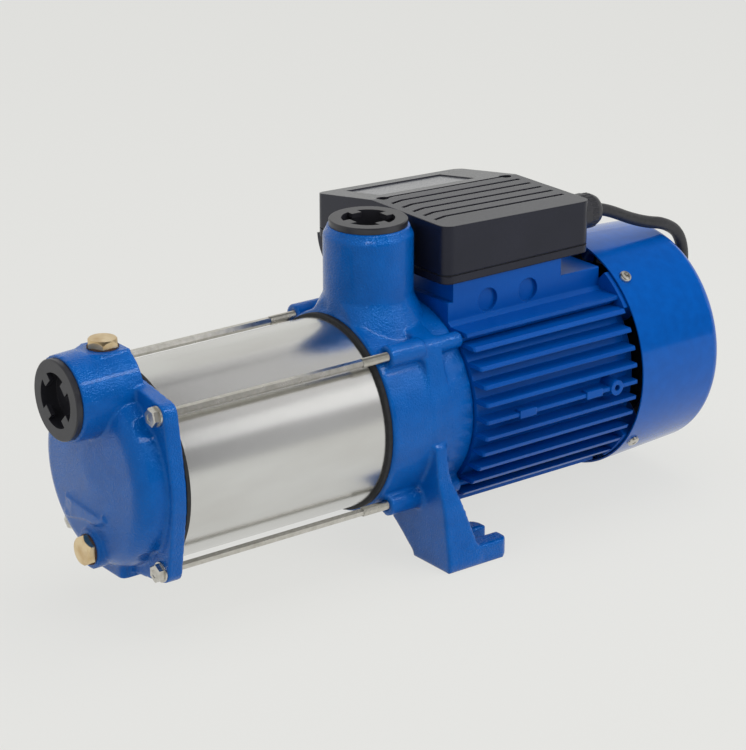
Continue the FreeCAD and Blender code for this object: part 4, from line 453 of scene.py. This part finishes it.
# Tie bolts. Four long M6 bolts pull the casing, sleeve and bracket together; cold-headed steel with
# rolled threads at the bracket end, zinc plated. Each has a washer under its head.
# Zinc plate: pale grey metal, a touch yellow, dulled in blotches.
zinc, tree, shader = surface("zinc_plated_steel", "#CBC8C0", 0.28, Metallic=1.0)
at = add(tree, "TexCoord").outputs["Object"]
blotches = add(tree, "TexNoise", {"Vector": at}, Scale=every(4), Detail=4.0, Roughness=0.6)
mottled(tree, shader, blotches, "#BFBCB3", "#D6D3CC")
dulled = add(tree, "MapRange", {0: blotches}, To_Min=0.34, To_Max=0.24)
tree.links.new(dulled.outputs[0], shader.inputs["Roughness"])
relief(tree, shader, blotches, 0.00001)
wear(zinc, "tie_bolt_washers", "shaft_nut")


def draw_out(start, axis, steps):
    """Extrude the selected end face along an axis: each step is a distance and a size against the last."""
    centre = Vector(start)
    for distance, size in steps:
        shift = Vector(axis) * distance
        bpy.ops.mesh.extrude_region_move(TRANSFORM_OT_translate={"value": shift})
        centre += shift
        if size != 1:
            bpy.ops.transform.resize(value=(size, size, size), center_override=centre)


def tidy(piece):
    """Merge doubles, turn the faces outwards and leave edit mode."""
    bpy.ops.mesh.select_all(action="SELECT")
    bpy.ops.mesh.remove_doubles(threshold=0.000005)
    bpy.ops.mesh.normals_make_consistent(inside=False)
    bpy.ops.object.mode_set(mode="OBJECT")


# Bolt drawn from the underside of its head, pointing along the shaft; the head is to its left.
corner_radius, head_height, shank_share = 0.00575, 0.0034, 0.45
shank_length, thread_length, thread_pitch = 0.1450, 0.0340, 0.0010
root_radius, crest = 0.0026, 1.14
bolt = added("cylinder", "tie_bolt_head", vertices=6, radius=corner_radius, depth=head_height,
             location=(-head_height / 2, 0, 0), rotation=onto_shaft)
edit(bolt, "FACE", lambda face: face.normal.x < -0.9)
draw_out((-head_height, 0, 0), (1, 0, 0), [(-0.0006, 0.86), (0.0, 0.55), (0.0004, 0.9)])
edit(bolt, "FACE", lambda face: face.normal.x > 0.9)
draw_out((0, 0, 0), (1, 0, 0), [(0.0, shank_share), (shank_length, 1.0)])
tidy(bolt)
thread = added("circle", "tie_bolt_thread", vertices=20, radius=root_radius, fill_type="NOTHING",
               location=(0, 0, 0), rotation=onto_shaft)
bpy.ops.object.mode_set(mode="EDIT")
bpy.ops.mesh.select_mode(type="EDGE")
bpy.ops.mesh.select_all(action="SELECT")
ridge = [(thread_pitch / 2, crest), (thread_pitch / 2, 1 / crest)]
draw_out((0, 0, 0), (1, 0, 0), ridge * round(thread_length / thread_pitch))
bpy.ops.mesh.edge_face_add()
tidy(thread)
thread.location = (shank_length, 0, 0)
alone(bolt)
thread.select_set(True)
bpy.ops.object.transform_apply(location=True, rotation=True, scale=True)
bpy.ops.object.join()
# The four copies lie on a circle round the shaft, and each head has stopped at a turn of its own.
bolt_seat, bolt_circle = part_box("tie_bolt_washers")[0].x, 0.068
for i in range(4):
    angle = math.radians(45 + 90 * i)
    part = copied(bolt, "tie_bolt_%d" % (i + 1))
    part.location = (bolt_seat, -bolt_circle * math.sin(angle), shaft_height + bolt_circle * math.cos(angle))
    part.rotation_euler = (math.radians(12 + 17 * i), 0, 0)
    placed(part, zinc, "frame", "zinc_plated_steel", "sleeve_tie_bolts")
bpy.data.objects.remove(bolt)


# Bracket. The second iron casting: discharge chamber, port tower and motor flange in one, on two legs
# with open-ended slots for the anchor bolts. Same enamel as the suction casing.
# Its skin has a coarser grid than the casing's, because a piece may have 200,000 triangles at most.
bracket_grid = 0.0013
bracket = cast(merged_copy("pump_bracket", "cast_pump_bracket"), bracket_grid)
placed(bracket, cast_blue, "frame", "painted_casting", "pump_bracket", angle=180)
cast_pieces.objects.link(bracket)


# Motor housing and rear shield. Pressure die cast in aluminium with level cooling fins, then enamelled
# in the same blue; the die leaves a skin far smoother than the iron's.
# Enamel on die-cast aluminium: satin, nearly even, with a faint orange peel of 3 mm.
alloy_blue, tree, shader = surface("blue_enamel_on_die_cast_aluminium", "#004AA0", 0.34, Coat_Weight=0.08,
                                   Coat_Roughness=0.2, Specular_Tint=linear("#5AA8FF"))
at = add(tree, "TexCoord").outputs["Object"]
peel = add(tree, "TexNoise", {"Vector": at}, Scale=every(3), Detail=2.0)
flow = add(tree, "TexNoise", {"Vector": stretched(tree, 0.2, 1, 1)}, Scale=every(20), Detail=2.0)
mottled(tree, shader, flow, "#00469A", "#004EA5")
relief(tree, shader, peel, 0.00012, edge=0.0009)
wear(alloy_blue, "motor_housing", "rear_end_shield")

# Motor tie bolts. Four long bolts from the rear shield through the fins to the bracket; they are drawn
# tight before the motor is sprayed, so they are as blue as the fins around them.
# Enamel over plated steel: thin, with the metal's shine still in it.
bolt_blue, tree, shader = surface("thin_blue_enamel_on_steel", "#004C9E", 0.3,
                                  Specular_Tint=linear("#5AA8FF"))
runs = add(tree, "TexNoise", {"Vector": stretched(tree, 0.3, 1, 1)}, Scale=every(5), Detail=3.0)
mottled(tree, shader, runs, "#004592", "#0052A8")
relief(tree, shader, runs, 0.00003)
wear(bolt_blue, "motor_tie_bolts")


# Fan and circlip. One-piece nylon fan, pushed on the end of the shaft and held by a sprung steel ring.
# The stage casings are moulded in the same nylon.
# Glass-filled nylon: black with a dry grain.
nylon, tree, shader = surface("glass_filled_black_nylon", "#1A1A1A", 0.55)
strands = add(tree, "TexNoise", {"Vector": stretched(tree, 1, 1, 4)}, Scale=every(1.5), Detail=3.0)
mottled(tree, shader, strands, "#141414", "#242425")
relief(tree, shader, strands, 0.00005, edge=0.0004)
wear(nylon, "cooling_fan", *["stage_casing_%d" % i for i in range(1, 6)])


def bands(millimetres):
    """Scale of a wave texture with a band every so many millimetres; at scale 1 it is tau / 20 metres."""
    return every(millimetres) * math.tau / 20


# Spring and shaft steel: turned or ground, grey and oily, with rings left by the tool 0.2 mm apart,
# drawn at 1.2 mm.
turned_steel, tree, shader = surface("turned_steel", "#9A9A98", 0.28, Metallic=1.0)
at = add(tree, "TexCoord").outputs["Object"]
rings = add(tree, "TexWave", {"Vector": at}, wave_type="BANDS", bands_direction="X",
            Scale=bands(1.184), Distortion=0.4, Detail=1.0)
oil = add(tree, "TexNoise", {"Vector": at}, Scale=every(9), Detail=3.0)
mottled(tree, shader, oil, "#878785", "#A8A8A5")
relief(tree, shader, rings, 0.00001)
wear(turned_steel, "pump_shaft", "impeller_key", "impeller_spacers", "fan_circlip")


# Fan cover. Deep-drawn steel sheet with ring slots for the air, enamelled in blue and held on the end
# shield by four pan-head screws.
# Enamel on smooth sheet: the glossiest of the three blues, so that the edge of the floor shows in it.
sheet_blue, tree, shader = surface("blue_enamel_on_steel_sheet", "#0051AA", 0.16, Coat_Weight=0.15,
                                   Coat_Roughness=0.08, Specular_Tint=linear("#7FB4FF"))
at = add(tree, "TexCoord").outputs["Object"]
peel = add(tree, "TexNoise", {"Vector": at}, Scale=every(6), Detail=2.0)
mottled(tree, shader, peel, "#004FA4", "#0055AE")
relief(tree, shader, peel, 0.00004, edge=0.0006)
wear(sheet_blue, "fan_cover")

# Pan-head screw drawn upright with its seat at the origin; the cross is pressed into the crown.
pan_radius, pan_wall = 0.004, 0.0011
cross_length, cross_width, cross_depth, cross_middle = 0.0046, 0.0011, 0.0026, 0.0021
screw = added("cylinder", "pan_head", vertices=40, radius=pan_radius, depth=pan_wall,
              location=(0, 0, pan_wall / 2))
edit(screw, "FACE", lambda face: face.normal.z > 0.9)
draw_out((0, 0, pan_wall), (0, 0, 1), [(0.0006, 0.94), (0.0004, 0.88), (0.0002, 0.78), (0.0001, 0.55)])
tidy(screw)
for turn in (0, 90):
    cutter = added("cube", "cross_cutter", (cross_length, cross_width, cross_depth), size=1.0,
                   location=(0, 0, cross_middle), rotation=(0, 0, math.radians(turn)))
    edit(cutter, "FACE", lambda face: face.normal.z < -0.9)
    bpy.ops.transform.resize(value=(0.35, 0.35, 1), center_override=(0, 0, cross_middle - cross_depth / 2))
    bpy.ops.object.mode_set(mode="OBJECT")
    modified(screw, "BOOLEAN", operation="DIFFERENCE", object=cutter, solver="EXACT")
    bpy.data.objects.remove(cutter)
screws_low, screws_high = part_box("fan_cover_screws")
cover_screw_x, cover_screw_seat, cover_screw_turn = (screws_low.x + screws_high.x) / 2, 0.07686, 38.3
for i in range(4):
    angle = math.radians(cover_screw_turn + 90 * i)
    out = Vector((0, -math.sin(angle), math.cos(angle)))
    head = copied(screw, "cover_screw_%d" % (i + 1))
    head.rotation_mode = "QUATERNION"
    head.rotation_quaternion = out.to_track_quat("Z", "X") @ Matrix.Rotation(0.6 + i, 3, "Z").to_quaternion()
    head.location = Vector((cover_screw_x, 0, shaft_height)) + out * cover_screw_seat
    placed(head, zinc, "frame", "zinc_plated_steel", "fan_cover_screws")


# Terminal box. Tray, gasket and lid moulded in black ABS; the lid has six grooves over the wiring side
# and a bare panel over the capacitor, and two sunk screws hold it.
# Textured ABS: charcoal, with an eroded grain of half a millimetre that spreads the light; the sunk
# panel is left smooth in the mould and is shinier, and its pale grey is a painted sheen: the pale
# room's reflection on the lid top, painted into its colour.
panel_x, panel_half_length = 0.0595, 0.0384
panel_y, panel_half_width = 0.068, 0.0179
abs_black, tree, shader = surface("textured_black_abs", "#1A1A20", 0.24, Specular_Tint=linear("#CDD2EA"))
at = add(tree, "TexCoord").outputs["Object"]
grain = add(tree, "TexNoise", {"Vector": at}, Scale=every(0.6), Detail=2.0)
patches = add(tree, "TexNoise", {"Vector": at}, Scale=every(30), Detail=3.0)
axes = add(tree, "SeparateXYZ", {0: at}).outputs
along = add(tree, "Math", {0: axes["X"], 1: panel_x, 2: panel_half_length}, operation="COMPARE")
across = add(tree, "Math", {0: axes["Y"], 1: panel_y, 2: panel_half_width}, operation="COMPARE")
smooth_panel_painted_sheen = add(tree, "Math", {0: along, 1: across}, operation="MULTIPLY")
tones = mottled(tree, shader, patches, "#17171D", "#1C1C24")
# Painted sheen: over the smooth panel the base colour goes to a pale grey that stands in for reflected light.
tones = add(tree, "MixRGB", {"Fac": smooth_panel_painted_sheen, "Color1": tones}, Color2=linear("#5E5F64"))
tree.links.new(tones.outputs[0], shader.inputs["Base Color"])
smooth = add(tree, "MapRange", {0: smooth_panel_painted_sheen}, To_Min=0.24, To_Max=0.15)
tree.links.new(smooth.outputs[0], shader.inputs["Roughness"])
relief(tree, shader, grain, 0.00005, edge=0.0012)
wear(abs_black, "terminal_box_base", "terminal_box_cover")
wear(rubber, "terminal_box_gasket")
screws_low, screws_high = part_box("terminal_box_screws")
lid_screw_y, lid_screw_seat, lid_drop = (screws_low.y + screws_high.y) / 2, 0.20173, 0.0030
for i, x in enumerate((0.014, 0.114)):
    head = copied(screw, "lid_screw_%d" % (i + 1))
    head.scale = (0.9, 0.9, 1.0)
    head.rotation_euler = (0, 0, 0.4 + 0.9 * i)
    head.location = (x, lid_screw_y, lid_screw_seat - lid_drop * i)
    placed(head, zinc, "frame", "zinc_plated_steel", "terminal_box_screws")
bpy.data.objects.remove(screw)


# Inside the terminal box. A clamp strip for the three wires, on the floor of the tray, and the motor's
# run capacitor, which lies in the bulge of the box on its far side.
# Melamine: pale grey and hard.
melamine, tree, shader = surface("grey_melamine", "#8C8A83", 0.4)
at = add(tree, "TexCoord").outputs["Object"]
specks = add(tree, "TexNoise", {"Vector": at}, Scale=every(0.8), Detail=3.0)
mottled(tree, shader, specks, "#7E7C75", "#98968F")
relief(tree, shader, specks, 0.00003)
wear(melamine, "terminal_block")
# Drawn aluminium can in a white plastic jacket: smooth and faintly ribbed from drawing.
jacket, tree, shader = surface("white_capacitor_jacket", "#CFCFCA", 0.35)
drawing = add(tree, "TexNoise", {"Vector": stretched(tree, 0.1, 1, 1)}, Scale=every(2), Detail=2.0)
mottled(tree, shader, drawing, "#C6C6C0", "#D6D6D2")
relief(tree, shader, drawing, 0.00002)
wear(jacket, "run_capacitor")


# Stages. Five impellers of pale acetal on one key, spaced by steel sleeves, turn in the nylon stage
# casings that carry the guide and return vanes.
# Acetal: milky, smooth and slightly waxy.
acetal, tree, shader = surface("natural_acetal", "#D9D5C6", 0.35, Subsurface_Weight=0.05)
at = add(tree, "TexCoord").outputs["Object"]
milk = add(tree, "TexNoise", {"Vector": at}, Scale=every(8), Detail=3.0)
mottled(tree, shader, milk, "#D0CCBB", "#E0DDD0")
relief(tree, shader, milk, 0.00003)
wear(acetal, *["impeller_%d" % i for i in range(1, 6)])

# Shaft seal. A carbon ring turns with the shaft, and the rubber bellows behind it presses it against a
# fixed ceramic seat in the bracket.
# Alumina: chalk white and polished.
ceramic, tree, shader = surface("alumina_ceramic", "#DDD9D0", 0.15)
at = add(tree, "TexCoord").outputs["Object"]
chalk = add(tree, "TexNoise", {"Vector": at}, Scale=every(1), Detail=3.0)
mottled(tree, shader, chalk, "#D5D1C6", "#E4E1DA")
relief(tree, shader, chalk, 0.00001)
wear(ceramic, "seal_seat")
# Resin-bonded carbon: black with a graphite sheen.
carbon, tree, shader = surface("resin_bonded_carbon", "#242427", 0.32)
at = add(tree, "TexCoord").outputs["Object"]
grit = add(tree, "TexNoise", {"Vector": at}, Scale=every(0.5), Detail=2.0)
mottled(tree, shader, grit, "#1D1D20", "#303034")
relief(tree, shader, grit, 0.00002)
wear(carbon, "seal_head")

# Bearings. Sealed deep-groove ball bearings, one in the bracket and one with its wave washer in the
# rear shield.
# Ground and honed bearing steel: mirror bright with faint rings.
bearing_steel, tree, shader = surface("ground_bearing_steel", "#BDBDBA", 0.12, Metallic=1.0)
rings = add(tree, "TexNoise", {"Vector": stretched(tree, 1, 0.1, 0.1)}, Scale=every(0.5), Detail=2.0)
mottled(tree, shader, rings, "#B0B0AD", "#C8C8C6")
relief(tree, shader, rings, 0.000006)
wear(bearing_steel, "front_bearing_outer", "front_bearing_inner", "rear_bearing_outer", "rear_bearing_inner",
     "bearing_wave_washer")

# Motor cores. Stacks of punched electrical steel: the stator is pressed in the housing and the rotor on
# the shaft, with its aluminium cage rings at both ends.
# Stacked laminations: dull grey-brown metal; the sheets are 0.5 mm thick and drawn at 1 mm.
laminated, tree, shader = surface("stacked_electrical_steel", "#6B6963", 0.5, Metallic=1.0)
at = add(tree, "TexCoord").outputs["Object"]
sheets = add(tree, "TexWave", {"Vector": at}, wave_type="BANDS", bands_direction="X",
             Scale=bands(0.9865), Distortion=0.2)
mottled(tree, shader, sheets, "#57554F", "#7A7872")
relief(tree, shader, sheets, 0.00005)
wear(laminated, "rotor_core", "stator_core")
# Enamelled copper wire in bundles: brown-red and shiny, strands of 0.9 mm laid round the core.
copper, tree, shader = surface("enamelled_copper_wire", "#9A4B25", 0.3, Metallic=1.0)
strands = add(tree, "TexNoise", {"Vector": stretched(tree, 1, 0.25, 0.25)}, Scale=every(0.9), Detail=2.0)
mottled(tree, shader, strands, "#7C3A1A", "#B55E33")
relief(tree, shader, strands, 0.0004)
wear(copper, "stator_windings")


# Cable gland. Nylon gland in the back wall of the box: a hexagon body and a ribbed clamping nut that
# grips the cord and is its strain relief.
wear(cap_black, "cable_gland_body")
nut_low, nut_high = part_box("cable_gland_nut")
gland = Vector((nut_low.x, (nut_low.y + nut_high.y) / 2, (nut_low.z + nut_high.z) / 2))
nut_radius, ribbed_length, rib_pitch, rib_width = 0.0110, 0.0060, 15, 10
nut = added("cylinder", "ribbed_gland_nut", vertices=72, radius=nut_radius, depth=ribbed_length,
            location=gland + Vector((ribbed_length / 2, 0, 0)), rotation=onto_shaft)
edit(nut, "FACE", lambda face: abs(face.normal.x) < 0.1
     and math.degrees(math.atan2(face.normal.z, face.normal.y)) % rib_pitch < rib_width)
bpy.ops.mesh.inset(thickness=0.0003, depth=0.0004)
edit(nut, "FACE", lambda face: face.normal.x > 0.9)
draw_out(gland + Vector((ribbed_length, 0, 0)), (1, 0, 0),
         [(0.0, 0.97), (0.0022, 0.96), (0.0020, 0.90), (0.0014, 0.84), (0.0004, 0.93), (0.0, 0.78),
          (-0.004, 0.92), (-0.004, 0.9)])
tidy(nut)
placed(nut, cap_black, "frame", "gland_plastic", "cable_gland_nut")


# Cord. Three-core rubber-sheathed cord of 8 mm: from the gland over the fan cover's edge, down behind
# the motor, and the rest of it coiled flat on the floor behind the pump.
# Rubber sheath: matt, black going grey, with faint scuffs along it.
sheath, tree, shader = surface("black_cord_sheath", "#28282B", 0.45)
at = add(tree, "TexCoord").outputs["Object"]
scuffs = add(tree, "TexNoise", {"Vector": at}, Scale=every(3), Detail=4.0, Roughness=0.65)
mottled(tree, shader, scuffs, "#232326", "#333337")
relief(tree, shader, scuffs, 0.0001)

route = [(0.130, -0.019, 0.1895), (0.142, -0.019, 0.1895), (0.155, -0.019, 0.1855), (0.172, -0.019, 0.1775),
         (0.188, -0.019, 0.1718), (0.203, -0.019, 0.1686), (0.2173, -0.019, 0.1595), (0.2233, -0.018, 0.1390),
         (0.2223, -0.013, 0.1140), (0.2193, -0.004, 0.0860), (0.2163, 0.009, 0.0580), (0.2143, 0.025, 0.0320),
         (0.2073, 0.045, 0.0130), (0.1953, 0.071, 0.0048), (0.1693, 0.103, 0.0041), (0.1373, 0.118, 0.0041),
         (0.1113, 0.120, 0.0041), (0.0893, 0.1195, 0.0041), (0.0700, 0.1191, 0.0041)]


def between(value, start, end):
    """Share of the way from start to end, held to 0 and 1."""
    return min(1.0, max(0.0, (value - start) / (end - start)))


# Three and a half turns, clockwise from above: wide on the floor, then a diameter further in, then up on
# top, and out again there. The degrees over which it moves in, up and out are counted along its turns.
coil_centre = Vector((0.060, 0.168, 0))
coil_radius, coil_inset, cord_lie, cord_lift = 0.0489, 0.00815, 0.0041, 0.0079
coil_turns, point_step = 3.5, 22.5
move_in, move_up, move_out = (270, 350), (560, 640), (860, 940)
for k in range(1, round(coil_turns * 360 / point_step)):
    swept = k * point_step
    radius = coil_radius - coil_inset * (between(swept, *move_in) - between(swept, *move_out))
    height = cord_lie + cord_lift * between(swept, *move_up)
    angle = math.radians(-90 - swept)
    route.append((coil_centre.x + radius * math.cos(angle), coil_centre.y + radius * math.sin(angle), height))
route += [(0.0700, 0.2169, 0.0120), (0.0893, 0.2163, 0.0119), (0.1053, 0.2160, 0.0117),
          (0.1333, 0.2130, 0.0185), (0.1493, 0.2130, 0.0185), (0.1560, 0.2130, 0.0185)]
line = bpy.data.curves.new("rubber_cord", "CURVE")
line.dimensions = "3D"
spline = line.splines.new("NURBS")
spline.points.add(len(route) - 1)
for point, place in zip(spline.points, route):
    point.co = (*place, 1.0)
spline.order_u = 3
spline.use_endpoint_u = True
spline.resolution_u = 6
line.bevel_depth = 0.004
line.bevel_resolution = 5
line.use_fill_caps = True
cord = bpy.data.objects.new("rubber_cord", line)
bpy.context.scene.collection.objects.link(cord)
line.materials.append(sheath)
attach(cord, "frame")
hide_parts("power_cord", "power_cord_coil", "power_cord_tail")


# Plug. Two-pin earthed mains plug moulded on the cord in black rubber, with a ringed strain relief, a
# flat round face and a grooved grip.
plug_low, plug_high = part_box("plug_body")
plug_start = Vector((plug_low.x, (plug_low.y + plug_high.y) / 2, (plug_low.z + plug_high.z) / 2))
collar_radius, collar_length = 0.0052, 0.002
plug = added("cylinder", "moulded_plug", vertices=64, radius=collar_radius, depth=collar_length,
             location=plug_start + Vector((collar_length / 2, 0, 0)), rotation=onto_shaft)
edit(plug, "FACE", lambda face: face.normal.x > 0.9)
relief_rings = [(0.0002, 0.84), (0.0014, 1.0), (0.0002, 1.25), (0.0032, 1.0)] * 5
grip_and_face = [(0.0010, 1.25), (0.0020, 1.22), (0.0030, 1.15), (0.0060, 1.30), (0.0030, 1.08),
                 (0.0145, 1.0), (0.0010, 0.985), (0.0, 0.93), (-0.0008, 0.99)]
draw_out(plug_start + Vector((collar_length, 0, 0)), (1, 0, 0), relief_rings + grip_and_face)
tidy(plug)
placed(plug, rubber, "frame", "plug_rubber", "plug_body")

# Nickel-plated brass: bright and slightly warm.
nickel, tree, shader = surface("nickel_plated_brass", "#C9C3B2", 0.2, Metallic=1.0)
rub = add(tree, "TexNoise", {"Vector": stretched(tree, 0.15, 1, 1)}, Scale=every(0.8), Detail=2.0)
mottled(tree, shader, rub, "#B8B2A0", "#D6D1C3")
relief(tree, shader, rub, 0.00001)
wear(nickel, "plug_pins")
